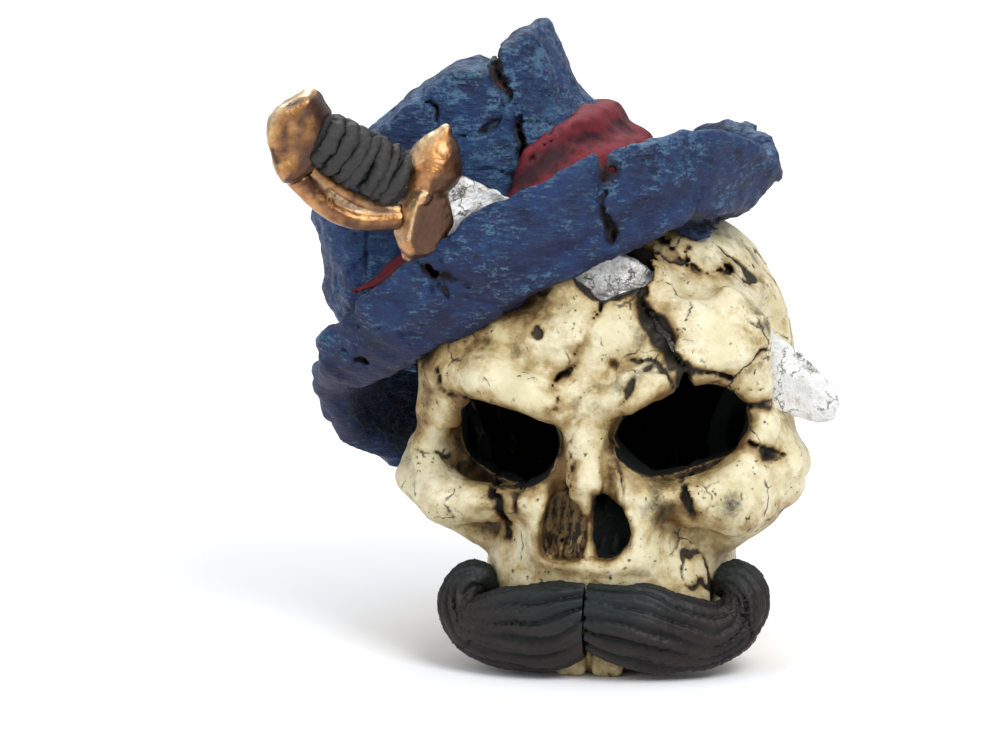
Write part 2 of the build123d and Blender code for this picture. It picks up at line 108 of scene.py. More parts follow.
class Finish:
    """One material, with a single way to add any node."""

    def __init__(self, name):
        self.material = bpy.data.materials.new(name)
        self.material.use_nodes = True
        self.tree = self.material.node_tree
        self.shader = self.tree.nodes["Principled BSDF"]

    def node(self, kind, settings=None, values=None, out=0):
        made = self.tree.nodes.new(kind)
        for key, value in (settings or {}).items():
            setattr(made, key, value)
        for key, value in (values or {}).items():
            self.plug(made.inputs[key], value)
        return Wire(self, made.outputs[out])

    def plug(self, socket, value):
        if isinstance(value, Wire):
            self.tree.links.new(value.socket, socket)
        elif isinstance(value, (tuple, list)) and len(value) == 3 and socket.type == "RGBA":
            socket.default_value = (*value, 1)
        else:
            socket.default_value = value

    def place(self):
        return self.node("ShaderNodeTexCoord", out="Object")

    def noise(self, size, detail=3.0, rough=0.55, seed=0, at=None, out="Fac"):
        """Cloudy value near 0.5; size in millimetres."""
        values = {"Vector": at or self.place(), "W": seed, "Scale": 1 / (size * MM), "Detail": detail,
                  "Roughness": rough}
        return self.node("ShaderNodeTexNoise", {"noise_dimensions": "4D"}, values, out)

    def noises(self, at, seed, *sizes):
        """Three cloudy values, from coarse to fine, with seeds that follow on."""
        kinds = ((4, 0.6), (5, 0.65), (3, 0.6))
        return [self.noise(size, *kind, seed + k, at) for k, (size, kind) in enumerate(zip(sizes, kinds))]

    def painted(self, name):
        return self.node("ShaderNodeAttribute", {"attribute_name": name}, out="Fac")

    def blend(self, share, low, high):
        """Colour low where share is 0 and high where it is 1."""
        made = self.tree.nodes.new("ShaderNodeMix")
        made.data_type = "RGBA"
        for socket, value in ((made.inputs[0], share), (made.inputs[6], low), (made.inputs[7], high)):
            self.plug(socket, value)
        return Wire(self, made.outputs[2])

    def coats(self, tone, *coats):
        """The tone under coats of paint, each (share covered, colour), the first one lowest."""
        for share, colour in coats:
            tone = self.blend(share, tone, colour)
        return tone

    def bump(self, height, depth, strength=1.0):
        values = {"Height": height, "Distance": depth * MM, "Strength": strength}
        return self.node("ShaderNodeBump", {}, values, "Normal")

    def done(self, **values):
        """Sets the shader's own sockets; an underscore stands for a space."""
        for key, value in values.items():
            self.plug(self.shader.inputs[key.replace("_", " ")], value)
        return self.material


floor_mesh = bpy.data.meshes.new("floor")
floor_mesh.from_pydata([(-6, -6, 0), (6, -6, 0), (6, 6, 0), (-6, 6, 0)], [], [(0, 1, 2, 3)])
floor = bpy.data.objects.new("floor", floor_mesh)
bpy.context.scene.collection.objects.link(floor)
sheet = Finish("floor_sheet")
floor_mesh.materials.append(sheet.done(Base_Color=(0.93, 0.93, 0.94), Roughness=0.9))

world = bpy.data.worlds.new("room")
world.use_nodes = True
sky, sky_links = world.node_tree.nodes, world.node_tree.links
sky_place, sky_split = sky.new("ShaderNodeTexCoord"), sky.new("ShaderNodeSeparateXYZ")
sky_ramp = sky.new("ShaderNodeValToRGB")
horizon, zenith = sky_ramp.color_ramp.elements
horizon.position, horizon.color = 0.0, (0.30, 0.32, 0.35, 1)
zenith.position, zenith.color = 0.75, (1.25, 1.28, 1.32, 1)
sky_links.new(sky_place.outputs["Generated"], sky_split.inputs[0])
sky_links.new(sky_split.outputs["Z"], sky_ramp.inputs[0])
sky_links.new(sky_ramp.outputs[0], sky["Background"].inputs["Color"])
sky["Background"].inputs["Strength"].default_value = 0.72
bpy.context.scene.world = world

ornament_middle = Vector((0, 0, 0.07))
for lamp_name, spot, size, power in (  # metres and watts
    ("key", (0.55, -0.60, 0.95), 0.55, 9.5),
    ("fill", (-0.85, -0.75, 0.45), 0.70, 2.6),
    ("rim", (-0.20, 0.75, 0.80), 0.60, 4),
):
    lamp_data = bpy.data.lights.new(lamp_name, "AREA")
    lamp_data.energy, lamp_data.size = power, size
    lamp = bpy.data.objects.new(lamp_name, lamp_data)
    lamp.location = spot
    lamp.rotation_euler = (Vector(spot) - ornament_middle).to_track_quat("Z", "Y").to_euler()
    bpy.context.scene.collection.objects.link(lamp)


# Skull ------------------------------------------
# One hollow casting in stone-filled resin, open underneath: cream paint with a brown wash in the
# hollows, deepened by painted shade there and on faces that look down, a painted shadow under the
# hat brim, and black in the cracks. It is modelled as a sum of rounded masses, then skinned.

def length(rows):
    return np.sqrt(np.einsum("ij,ij->i", rows, rows))


def ball(p, at, size, turn=None):
    """About the distance to an ellipsoid; turn is an Euler angle in degrees."""
    q = p - np.array(at, np.float32)
    if turn:
        q = q @ np.array(Euler([radians(t) for t in turn]).to_matrix(), np.float32)
    size = np.array(size, np.float32)
    near = length(q / size)
    return near * (near - 1) / np.maximum(length(q / size ** 2), 1e-6)


def limb(p, a, b, start, end):
    """Rounded bar from a to b, with its own radius at each end."""
    a, b = np.array(a, np.float32), np.array(b, np.float32)
    run = b - a
    share = np.clip((p - a) @ run / (run @ run), 0, 1)
    return length(p - a - share[:, None] * run) - (start + (end - start) * share)


def chain(p, points, k=0.0):
    """Bars through points of (place, radius)."""
    made = None
    for (a, start), (b, end) in zip(points, points[1:]):
        bar = limb(p, a, b, start, end)
        made = bar if made is None else join(made, bar, k)
    return made


def join(a, b, k):
    """Both shapes, with a fillet of about k."""
    if not k:
        return np.minimum(a, b)
    share = np.clip(0.5 + 0.5 * (b - a) / k, 0, 1)
    return b + (a - b) * share - k * share * (1 - share)


def cut(a, b, k=0.0):
    """The first shape without the second."""
    return -join(-a, b, k)


def fade(value, low, high):
    share = np.clip((value - low) / (high - low), 0, 1)
    return share * share * (3 - 2 * share)


def creases(p, size, thin, seed):
    """Broken lines between lumps of about that size, 1 in the middle of a line and 0 away from it."""
    line = np.clip(1 - np.abs(grain(p, size, seed) + 0.12 * grain(p, size / 6, seed + 1)) / thin, 0, 1)
    return line * fade(grain(p, size * 1.3, seed + 2), 0.0, 0.25)


lattices = {}


def grain(p, size, seed=0):
    """Smooth noise from -1 to 1 whose lumps are about that size."""
    if seed not in lattices:
        lattices[seed] = np.random.default_rng(seed).random((32, 32, 32), np.float32) * 2 - 1
    table = lattices[seed]
    q = p / size + 100.0
    low = np.floor(q).astype(np.int32)
    part = (q - low).astype(np.float32)
    part = part * part * (3 - 2 * part)
    low, high = low & 31, (low + 1) & 31
    total = np.zeros(len(p), np.float32)
    for i, x in ((low[:, 0], 1 - part[:, 0]), (high[:, 0], part[:, 0])):
        for j, y in ((low[:, 1], 1 - part[:, 1]), (high[:, 1], part[:, 1])):
            for k, z in ((low[:, 2], 1 - part[:, 2]), (high[:, 2], part[:, 2])):
                total += table[i, j, k] * x * y * z
    return total


def crack_gap(p, path, seen, seed):
    """Which points a jagged path is near, seen from the front, the back or a side, and how near."""
    axes = {"front": (0, 2), "back": (0, 2), "left": (1, 2), "right": (1, 2)}[seen]
    side = {"front": p[:, 1] < 5, "back": p[:, 1] > 5, "left": p[:, 0] < 0, "right": p[:, 0] > 0}[seen]
    path = np.array(path, np.float32)
    low, high = path.min(0) - 6, path.max(0) + 6
    a, b = p[:, axes[0]], p[:, axes[1]]
    pick = np.nonzero(side & (a > low[0]) & (a < high[0]) & (b > low[1]) & (b < high[1]))[0]
    q = p[pick]
    flat = q[:, axes].astype(np.float32)
    spot = np.zeros_like(q)
    spot[:, :2] = flat
    flat[:, 0] += 0.8 * grain(spot, 2.6, seed) + 0.45 * grain(spot, 1.1, seed + 1)
    flat[:, 1] += 0.8 * grain(spot, 2.6, seed + 2) + 0.45 * grain(spot, 1.1, seed + 3)
    best = np.full(len(q), 99, np.float32)
    for start, end in zip(path, path[1:]):
        run = end - start
        share = np.clip((flat - start) @ run / (run @ run), 0, 1)
        best = np.minimum(best, length(flat - start - share[:, None] * run))
    return pick, best


def crack(p, f, path, width, depth, seen="front", seed=5, form=None):
    """A jagged groove along the path, as deep as that below the smooth form."""
    pick, best = crack_gap(p, path, seen, seed)
    if not len(pick):
        return f
    wide = width * (1.05 + 0.35 * grain(p[pick], 4, seed + 4))
    form = (f if form is None else form)[pick]
    f = f.copy()
    f[pick] = np.maximum(f[pick], np.minimum(wide * (1 + form / depth) - best, form + depth))
    return f


def each(cracks, first, seeds):
    """Each crack in turn: (path, half width, depth, seen from, seed)."""
    rows = [(path, width, depth, seen) for seen, group in cracks.items() for width, depth, path in group]
    return [(*row, first + 3 * (k % seeds)) for k, row in enumerate(rows)]


def outline(flat, corners, rounds=2):
    """Distance to a flat shape, below 0 inside it, after its corners are cut off a few times."""
    corners = np.array(corners, np.float32)
    for _ in range(rounds):
        after = np.roll(corners, -1, 0)
        corners = np.stack([corners * 0.75 + after * 0.25, corners * 0.25 + after * 0.75], 1).reshape(-1, 2)
    best = np.full(len(flat), 1e9, np.float32)
    inside = np.zeros(len(flat), bool)
    for a, b in zip(corners, np.roll(corners, -1, 0)):
        run = b - a
        share = np.clip((flat - a) @ run / (run @ run), 0, 1)
        best = np.minimum(best, length(flat - a - share[:, None] * run))
        crosses = (a[1] > flat[:, 1]) != (b[1] > flat[:, 1])
        inside ^= crosses & (flat[:, 0] < run[0] * (flat[:, 1] - a[1]) / (run[1] + 1e-9) + a[0])
    return np.where(inside, -best, best)


def sampled(shape, low, high, step, margin=3.0):
    """The shape's field on a grid; far from the surface only every fourth place is worked out.

    A shape is called with points and with whether they are far off, where no detail is needed.
    """
    low, high = np.array(low, np.float32), np.array(high, np.float32)
    blocks = np.ceil((high - low) / (4 * step)).astype(int)
    corner = np.stack(np.meshgrid(*[np.arange(n) for n in blocks], indexing="ij"), -1).reshape(-1, 3)
    rough = shape((low + (corner * 4 + 1.5) * step).astype(np.float32), True).reshape(blocks)
    field = rough.repeat(4, 0).repeat(4, 1).repeat(4, 2)
    near = np.abs(field) < 4 * step + margin
    spots = np.argwhere(near)
    points = (low + spots * step).astype(np.float32)
    batch = 400000
    values = [shape(points[k:k + batch], False) for k in range(0, len(points), batch)]
    field[near] = np.concatenate(values)
    return field


def skin(field, low, step):
    """Corners and four-sided faces of the field's zero surface, facing outwards."""
    inside = field < 0
    strides = np.array([field.shape[1] * field.shape[2], field.shape[2], 1])
    rings, facing, points = [], [], []
    for axis in range(3):
        first, last = [slice(None)] * 3, [slice(None)] * 3
        first[axis], last[axis] = slice(0, -1), slice(1, None)
        first, last = tuple(first), tuple(last)
        spots = np.argwhere(inside[first] != inside[last])
        here = tuple(spots.T)
        f0, f1 = field[first][here], field[last][here]
        point = spots.astype(float)
        point[:, axis] += f0 / (f0 - f1)
        u, v = strides[(axis + 1) % 3], strides[(axis + 2) % 3]
        home = spots @ strides
        ring = np.stack([home, home - u, home - u - v, home - v], 1)
        rings.append(ring)
        facing.append(np.where((f0 < 0)[:, None], ring, ring[:, ::-1]))
        points.append(point.repeat(4, 0))
    rings, facing, points = (np.concatenate(a) for a in (rings, facing, points))
    cells, index = np.unique(rings.ravel(), return_inverse=True)
    count = np.bincount(index)
    corners = np.stack([np.bincount(index, points[:, k]) / count for k in range(3)], 1)
    return corners * step + np.array(low), np.searchsorted(cells, facing)


def cast(name, shape, low, high, step, keep=1.0, margin=3.0):
    """A closed, smooth-shaded mesh of the shape; keep is the share of faces left after thinning."""
    corners, faces = skin(sampled(shape, low, high, step, margin), low, step)
    mesh = bpy.data.meshes.new(name)
    mesh.vertices.add(len(corners))
    mesh.vertices.foreach_set("co", (corners * MM).ravel())
    mesh.loops.add(faces.size)
    mesh.loops.foreach_set("vertex_index", faces.ravel())
    mesh.polygons.add(len(faces))
    mesh.polygons.foreach_set("loop_start", np.arange(0, faces.size, 4))
    mesh.update(calc_edges=True)
    piece = bpy.data.objects.new(name, mesh)
    bpy.context.scene.collection.objects.link(piece)
    if keep < 1:
        thin = piece.modifiers.new("thin", "DECIMATE")
        thin.ratio = keep
        made = piece.evaluated_get(bpy.context.evaluated_depsgraph_get())
        piece.data = bpy.data.meshes.new_from_object(made)
        piece.data.name = name
        piece.modifiers.clear()
    piece.data.shade_smooth()
    return piece


def surface(piece):
    """A piece's points and outward directions, the points in millimetres."""
    mesh = piece.data
    points = np.empty(len(mesh.vertices) * 3, np.float32)
    mesh.vertices.foreach_get("co", points)
    facing = np.empty(len(points), np.float32)
    mesh.vertices.foreach_get("normal", facing)
    return points.reshape(-1, 3) / MM, facing.reshape(-1, 3)


def paint(piece, name, values):
    layer = piece.data.attributes.new(name, "FLOAT", "POINT")
    layer.data.foreach_set("value", np.clip(values, 0, 1).astype(np.float32))


def shade(shape, points, facing, reaches=(1.5, 4, 8)):
    """How closed in each point is, from 0 in the open to 1 in a deep hollow."""
    total = 0
    for reach in reaches:
        total = total + np.clip(1 - shape(points + facing * reach) / reach, 0, 1)
    return total / len(reaches)


def edges(shape, points, facing, reach=2.0):
    """How sharp an outer corner each point is on."""
    return np.clip(1 + shape(points - facing * reach) / reach, 0, 1)


def face_frame(p):
    """Mirrored coordinates of the face, whose brow leans to one side and whose jaw leans back."""
    front = fade(-p[:, 1], 5, 25)
    lean = 0.095 * p[:, 0] * fade(p[:, 2], 36, 58) * front
    swing = np.clip(0.14 * (p[:, 2] - 39), -2.8, 1.2) * front
    return np.stack([np.abs(p[:, 0] + swing), p[:, 1], p[:, 2] - lean], 1).astype(np.float32)


def skull_mass(p):
    """The skull's outer form before the eyes, nose and cracks."""
    q = face_frame(p)
    x, y, z = q.T
    f = ball(q, (0, 7, 71.5), (45.5, 49.5, 45))
    f = join(f, ball(q, (0, 29, 50), (35, 28, 30)), 12)
    foot = (np.sqrt((x / 32.5) ** 2 + ((y + 8) / np.where(y < -8, 37, 51.5)) ** 2) - 1) * 32
    foot = np.maximum(foot, np.maximum(-z, z - 55))
    f = join(f, foot, 9)
    # forehead and temples
    plate = np.stack([x, y + 26 - x * x / 170, z - 80 + x * x / 900], 1)
    away = np.abs(plate) - np.array([34.5, 12, 6.5], np.float32)
    plate = length(np.maximum(away, 0)) + np.minimum(away.max(1), 0) - 8
    f = join(f, plate, 6)
    f = join(f, limb(q, (34, -29, 92), (41, -30.5, 84), 3, 3.5), 5)
    f = join(f, limb(q, (41.5, -30.5, 84), (41, -30, 70), 3.5, 4), 5)
    # (points as (place, radius), fillet between them, fillet onto the rest)
    for points, inner, outer in (
        # brow
        ((((6, -47, 70.5), 5), ((14, -47.5, 73.5), 6), ((25, -44.5, 79), 6.2), ((37, -36, 80), 5.5)), 3, 4),
        # bridge of the nose
        ((((0, -43, 72), 7), ((0, -46.5, 62), 5), ((0, -49.5, 51), 3.6), ((0, -48.5, 45), 2.6)), 3, 4),
    ):
        f = join(f, chain(q, points, inner), outer)
    f = join(f, ball(q, (0, -30, 22), (30, 21, 29)), 6)
    for points, inner, outer in (
        # beside the nose, then the rim of the nostrils
        ((((9, -44, 56), 3.6), ((13.5, -45.5, 44), 3.8), ((14.5, -45, 33), 4)), 4, 4),
        ((((11, -48, 45), 1.6), ((13, -48, 38), 2), ((11.5, -49, 30.5), 2), ((0, -50.5, 28.6), 1.8)), 1.5, 2.5),
        # cheekbone and its foot
        ((((16, -43, 46), 4.2), ((26, -42, 43.5), 5.6), ((37, -36, 43.5), 7.2), ((45.2, -22, 46), 7)), 4, 5),
        ((((39, -27, 41.5), 8), ((30.5, -29, 35.5), 7)), 4, 4),
        # outer rim of the eye, then the arch that runs back from it
        ((((40, -34, 47), 5.5), ((42.5, -29, 58), 4.5), ((41.5, -29, 68), 4.2)), 4, 4),
        ((((45, -22, 47), 6.5), ((46, -8, 49), 5.5), ((43, 10, 48), 5.5)), 4, 6),
    ):
        f = join(f, chain(q, points, inner), outer)
    f = join(f, limb(q, (44, -13, 52), (43, -12, 66), 4.8, 4.5), 7)
    f = join(f, ball(q, (37, -17, 55), (10, 13, 14)), 4)
    # hollows: temple, above the eye, beside the nose, under the cheekbone
    f = cut(f, ball(q, (47, -9, 85), (8.5, 17, 14), (0, 0, 10)), 2)
    f = cut(f, chain(q, [((8, -55.5, 61.5), 3.4), ((20, -53.5, 68.5), 3.6), ((34, -46, 72.5), 3.4)], 2), 2)
    f = cut(f, ball(q, (25, -50, 34), (7.5, 8, 8)), 6)
    f = cut(f, ball(q, (46, -2, 26), (11, 26, 13)), 8)
    # swelling round the blade
    f = join(f, ball(p, (-2, -30, 99.5), (20, 10, 9.5), (24, 0, 0)), 6)
    return np.maximum(f, -p[:, 2])


EYES = (
    ((6.2, 63.4), (13.3, 70.3), (23.8, 75.1), (33, 74.3), (37.6, 68.3), (37.4, 61.6), (33, 55.5), (23.8, 52.4),
     (13.3, 52), (7.6, 56.7)),
    ((-35.2, 64), (-31.4, 70), (-23.5, 69.6), (-15, 67.2), (-9, 61.1), (-9.8, 53.3), (-15.6, 49), (-26.1, 48.7),
     (-33.2, 52.6)),
)
NOSTRILS = (
    ((-10.4, 46.6), (-5.3, 46.6), (-0.7, 45), (-0.7, 30.8), (-6.7, 29.8), (-12, 30.8), (-12.4, 37)),
    ((0.5, 48.4), (3.4, 47.7), (9.6, 43), (11.8, 35.8), (7, 30.6), (0.8, 31.2)),
)


def eye(p):
    flat = p[:, (0, 2)]
    return np.maximum(np.minimum(outline(flat, EYES[0]), outline(flat, EYES[1])) - 0.6, p[:, 1] + 20)


def nostril(p, which):
    return np.maximum(outline(p[:, (0, 2)], NOSTRILS[which], 1), p[:, 1] + 38)


def skull_smooth(p):
    """The skull with its openings, before cracks and roughness."""
    wall, nostril_depth = 6, 4.4
    mass = skull_mass(p)
    hollow = -(mass + wall)
    back = p[:, 1] + 8
    pocket = (np.sqrt((p[:, 0] / 28.8) ** 2 + (back / np.where(back < 0, 30.8, 45.8)) ** 2) - 1) * 28
    f = np.maximum(mass, np.maximum(hollow, -p[:, 2] - 1))
    f = np.maximum(f, -np.maximum(pocket, p[:, 2] - 6))
    face = (p[:, 1] < -8) & (p[:, 2] > 26) & (p[:, 2] < 84) & (np.abs(p[:, 0]) < 46)
    q, g, m = p[face], f[face], mass[face]
    g = cut(g, eye(q), 2.4)
    for which in (0, 1):
        g = cut(g, np.maximum(nostril(q, which), -(m + nostril_depth)), 0.9)
    f[face] = g
    return f


CRATER = ((-6.3, 104.4), (-1.1, 109), (4.7, 110), (10.4, 109), (14.8, 103.6), (14.4, 99.5), (9.8, 97.7), (2.1, 96.3),
          (-2.2, 98), (-5.6, 101.5))
CRACKS = {  # seen from: (half width, depth, path)
    "front": (
        (0.62, 2.2, ((1.9, 96), (0.3, 90.4), (-1.3, 86.5), (-3.5, 83.9), (-3.8, 81.3), (-7.3, 78),
            (-9.5, 75.6), (-7.3, 73.5), (-7.3, 71.2), (-9.5, 69.8))),
        (2.0, 3.4, ((11.5, 98), (13.5, 93.5), (17, 89.5), (20.5, 84.8), (25, 81.8), (24.5, 76))),
        (2.6, 2.4, ((17, 92), (18.5, 87.5))),
        (0.9, 2.0, ((25, 81.8), (31, 79.6), (35, 77.2))),
        (0.75, 2.0, ((12.4, 108.6), (16.2, 107.5), (19.4, 103.7), (23.2, 101.9), (27.6, 99.8), (31.5, 98.3))),
        (0.4, 1.4, ((30.8, 109.5), (31.4, 107.5), (33.3, 105), (35.2, 101.9))),
        (0.45, 1.6, ((34.9, 68.2), (44.5, 68.8))),
        (0.6, 1.8, ((39.5, 60.1), (42, 58.2), (43.9, 55.7), (47.5, 54.2))),
        (0.6, 1.6, ((-39.2, 77.5), (-39.8, 73.6), (-37.9, 71.1), (-33.4, 70.8), (-28, 69))),
        (0.4, 1.2, ((12.2, 77.7), (11.5, 75.7), (9, 72.4))),
        (0.9, 1.8, ((-16, 98.6), (-12.8, 97.4), (-11.5, 99.3))),
        (0.6, 1.4, ((-35.1, 86), (-30.7, 88.1), (-26.9, 88.2))),
        (0.6, 1.8, ((-25.1, 50), (-25.5, 46.2), (-23, 45.6), (-23.4, 42), (-22, 39.2), (-22, 34.2))),
        (0.5, 1.4, ((-17.5, 50), (-18.6, 46), (-18, 42.5))),
        (0.6, 1.8, ((22.4, 51.5), (24.5, 47.3), (25.9, 43.8), (26.8, 41.5))),
        (0.6, 1.5, ((-3.2, 57), (-3.9, 51.7), (-6.7, 45.9))),
    ),
    "back": (
        (0.8, 2.4, ((-30, 96), (-12, 100), (-2, 92), (12, 96), (20, 88), (33, 90))),
        (0.6, 2.0, ((12, 96), (9, 80), (14, 70), (8, 58))),
        (0.7, 2.2, ((-28, 72), (-16, 66), (-18, 54), (-8, 46))),
        (0.5, 1.8, ((20, 44), (26, 36), (22, 24))),
        (0.5, 1.8, ((-30, 44), (-22, 34), (-27, 20))),
    ),
    "right": (
        (0.7, 2.2, ((10, 93), (16, 82), (30, 78), (36, 66))),
        (0.5, 1.6, ((16, 82), (8, 72), (12, 62))),
        (0.5, 1.8, ((28, 46), (20, 38), (24, 26))),
    ),
    "left": (
        (0.7, 2.2, ((6, 84), (18, 78), (22, 64), (36, 60))),
        (0.5, 1.6, ((22, 64), (14, 54), (20, 42))),
    ),
}


def skull_rough(p, f):
    """Cracks, pits and tool marks on the smooth skull."""
    near = np.abs(f) < 4.5
    q, g = p[near], f[near]
    crater = outline(q[:, (0, 2)], CRATER) + 1.1 * grain(q, 3, 21) + 0.5 * grain(q, 1.4, 22)
    g = cut(g, np.maximum(crater, q[:, 1] + 22), 0.8)
    for path, width, depth, seen, seed in each(CRACKS, 5, 4):
        g = crack(q, g, path, max(width, 0.62), depth, seen, seed, f[near])
    for at, size in (((6.2, 81), 1.1), ((26.5, 92), 1.0), ((-14, 88), 1.4)):
        dent = length(q[:, (0, 2)] - np.array(at, np.float32)) - size
        g = cut(g, np.maximum(dent, -(f[near] + 1.2)), 0.8)
    g = g + 0.75 * grain(q, 9, 31) + 0.36 * grain(q, 4, 32) + 0.17 * grain(q, 1.8, 33)
    g = g + 1.1 * creases(q, 15, 0.055, 36)
    g = g + 0.9 * np.clip(grain(q, 2.1, 34) - 0.55, 0, 1) + 0.8 * np.clip(grain(q, 4.5, 35) - 0.6, 0, 1)
    f = f.copy()
    f[near] = g
    return f


def skull_shape(p, far):
    f = skull_smooth(p)
    if far:
        return f
    f = skull_rough(p, f)
    f = np.minimum(f, np.maximum(nose_ribs(p), skull_mass(p) + 1.6))
    for x, y in ((18, -25), (-18, -25), (15, 24), (-15, 24)):
        f = np.minimum(f, limb(p, (x, y, 7.5), (x, y, 17), 4.6, 4.6))
    return np.maximum(f, 0.05 - p[:, 2])


def nose_ribs(p):
    """The folded bone inside the nostrils."""
    f = limb(p, (-9.6, -47.9, 31.5), (-7.6, -47.9, 43), 1.3, 0.8)
    for x, y in ((-7.0, -47.3), (-4.6, -47.4), (-2.6, -47.0), (3.6, -46.5), (6.8, -46.2)):
        f = np.minimum(f, limb(p, (x - 0.5, y, 32.5), (x + 0.9, y - 0.4, 42), 0.95, 0.6))
    return f + 0.35 * grain(p, 1.5, 41)


# The hat sits tilted on the skull, which has a painted shadow under its brim.
hat_origin = np.array((-17, 4, 97), np.float32)
tilt = radians(23.3)
hat_axes = np.array([[cos(tilt), 0, -sin(tilt)], [0, 1, 0], [sin(tilt), 0, cos(tilt)]], np.float32)


def hat_frame(p):
    return (p - hat_origin) @ hat_axes


skull = cast("skull", skull_shape, (-58, -58, -2), (58, 62, 121), 0.75, 0.42)
points, facing = surface(skull)
depth = -skull_mass(points)
holes = eye(points)
# Brown stain round the eyes, nostrils and cracks; the painted shadow of the brim is added below.
stain_and_shadow = 1.1 - fade(holes, -0.5, 6)
for which in (0, 1):
    stain_and_shadow = np.maximum(stain_and_shadow, 1 - fade(nostril(points, which), -0.5, 2.2))
near_cracks = np.zeros(len(points))
for path, width, _, seen, seed in each(CRACKS, 5, 4):
    pick, gap = crack_gap(points, path, seen, seed)
    near_cracks[pick] = np.maximum(near_cracks[pick], 1 - fade(gap, width * 0.6, width + 2.6))
crater_gap = np.maximum(outline(points[:, (0, 2)], CRATER), points[:, 1] + 10)
near_cracks = np.maximum(near_cracks, 1 - fade(crater_gap, 0, 4.5))
stain_and_shadow = np.maximum(stain_and_shadow, 0.75 * near_cracks)
# Painted shadow: the skull is darkened for about 15 mm below the hat's edge.
under_hat = hat_frame(points)
hat_edge = np.interp(under_hat[:, 0], (-42, -27, -1.5, 24.6, 47.8), (-17, -2, 1.4, 6.1, 1.6))
stain_and_shadow = np.maximum(stain_and_shadow, 1.15 * fade(under_hat[:, 2] - hat_edge, -15, -3))
# How shut in each point is: it drives both the brown wash and the painted shade in the hollows.
paint(skull, "closed", shade(skull_smooth, points, facing, (2, 5, 9)))
paint(skull, "stain_and_shadow", stain_and_shadow)
paint(skull, "sunk", np.clip(-skull_smooth(points) / 1.6, 0, 1) + 0.8 * creases(points, 15, 0.055, 36))
# Painted shade on faces that look down.
paint(skull, "under", fade(-facing[:, 2], -0.2, 0.7))
# Painted shade: near black, and rougher, inside the hollow, on the walls of the eye holes and in the right nostril;
# the left nostril gets the brown ribs colour.
black = fade(depth, 4.4, 5.8)
black = np.maximum(black, fade(-holes, -1.9, -0.5) * fade(depth, 0.3, 1.3))
black = np.maximum(black, fade(-nostril(points, 1), -0.6, 0.3) * fade(depth, 0.6, 1.6))
brown = fade(-nostril(points, 0), -0.6, 0.3) * fade(depth, 0.6, 1.6)
paint(skull, "inner", np.maximum(black, 0.45 * brown))
paint(skull, "foot", 1 - fade(points[:, 2] + 0.12 * points[:, 1], 8, 30))

bone = Finish("bone_paint")
at = bone.place()
cloud = bone.noise(13, 5, 0.6, 1, at)
mottle = bone.noise(4, 6, 0.68, 2, at)
fine = bone.noise(0.9, 4, 0.6, 3, at)
# Brown wash and painted shade: more in the hollows, round the eyes, nostrils and cracks, in the painted shadow under
# the hat brim, on faces that look down and towards the foot, broken up by noise.
wash_and_shade = bone.painted("closed") * 1.6 + bone.painted("stain_and_shadow") * 1.05 + bone.painted("foot") * 0.75
wash_and_shade = wash_and_shade + bone.painted("under") * 0.45 + (cloud - 0.5) * 2.6 + (mottle - 0.5) * 2.6 + 0.02
cream = bone.blend(cloud.clear(0.38, 0.62), (0.62, 0.55, 0.34), (0.78, 0.73, 0.54))
speck = bone.noise(1.3, 4, 0.6, 5, at).clear(0.60, 0.67) * bone.noise(7, 2, 0.5, 6, at).clear(0.48, 0.58)
# Near-black painted shade in the deepest hollows and the brim's shadow, with the stain.
deep = bone.painted("closed") * 1.2 + bone.painted("stain_and_shadow") + (mottle - 0.5) * 1.4
sunk_in = (bone.painted("sunk") + (fine - 0.5) * 0.5).clear(0.22, 0.6)
tall = bone.node("ShaderNodeMapping", {}, {"Vector": at, "Scale": (1, 1, 0.2)})
ribs = (bone.noise(1.3, 3, 0.55, 9, tall) + (fine - 0.5) * 0.4).clear(0.40, 0.58)
ribs = bone.blend(ribs, (0.030, 0.022, 0.012), (0.26, 0.165, 0.07))
bent = bone.noise(6, 3, 0.6, 7, at, "Color").warp(at, 0.006)
veins = bone.node("ShaderNodeTexVoronoi", {"feature": "DISTANCE_TO_EDGE"},
                  {"Vector": bent, "Scale": 85.0}, "Distance")
veins = (1 - veins.clear(0.008, 0.03)) * bone.noise(10, 3, 0.6, 8, at).clear(0.55, 0.62)
inner = bone.painted("inner")
# Coats: wash and painted shade in two browns, near-black painted shade, specks, black cracks, the inside of the
# openings and crazing.
tone = bone.coats(
    cream,
    (wash_and_shade.clear(0.08, 0.9) * 0.85, (0.39, 0.28, 0.107)),
    (wash_and_shade.clear(0.75, 1.65), (0.165, 0.088, 0.025)),
    (deep.clear(1.05, 1.7), (0.028, 0.018, 0.010)),
    (speck * 0.85, (0.022, 0.016, 0.010)),
    (sunk_in * 0.95, (0.018, 0.015, 0.010)),
    (inner.clear(0.15, 0.42), ribs),
    (inner.clear(0.5, 0.8), (0.0035, 0.006, 0.005)),
    (veins * 0.85, (0.03, 0.022, 0.012)),
)
height = mottle * 0.7 + fine * 0.3 - speck * 0.8 - veins * 0.7
bone_paint = bone.done(Base_Color=tone, Roughness=cloud * 0.2 + 0.40 + inner.clear(0.4, 0.8) * 0.5,
                       Specular_IOR_Level=0.24, Normal=bone.bump(height, 0.45, 0.9))
skull.data.materials.append(bone_paint)
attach(skull, "ornament")
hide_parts("skull_shell")


# Incisors ---------------------------------------
# Two blunt blocks cast apart from the skull and glued up under the moustache: they share the
# skull's paint, with more of its wash and painted shade at the gum, under the moustache.

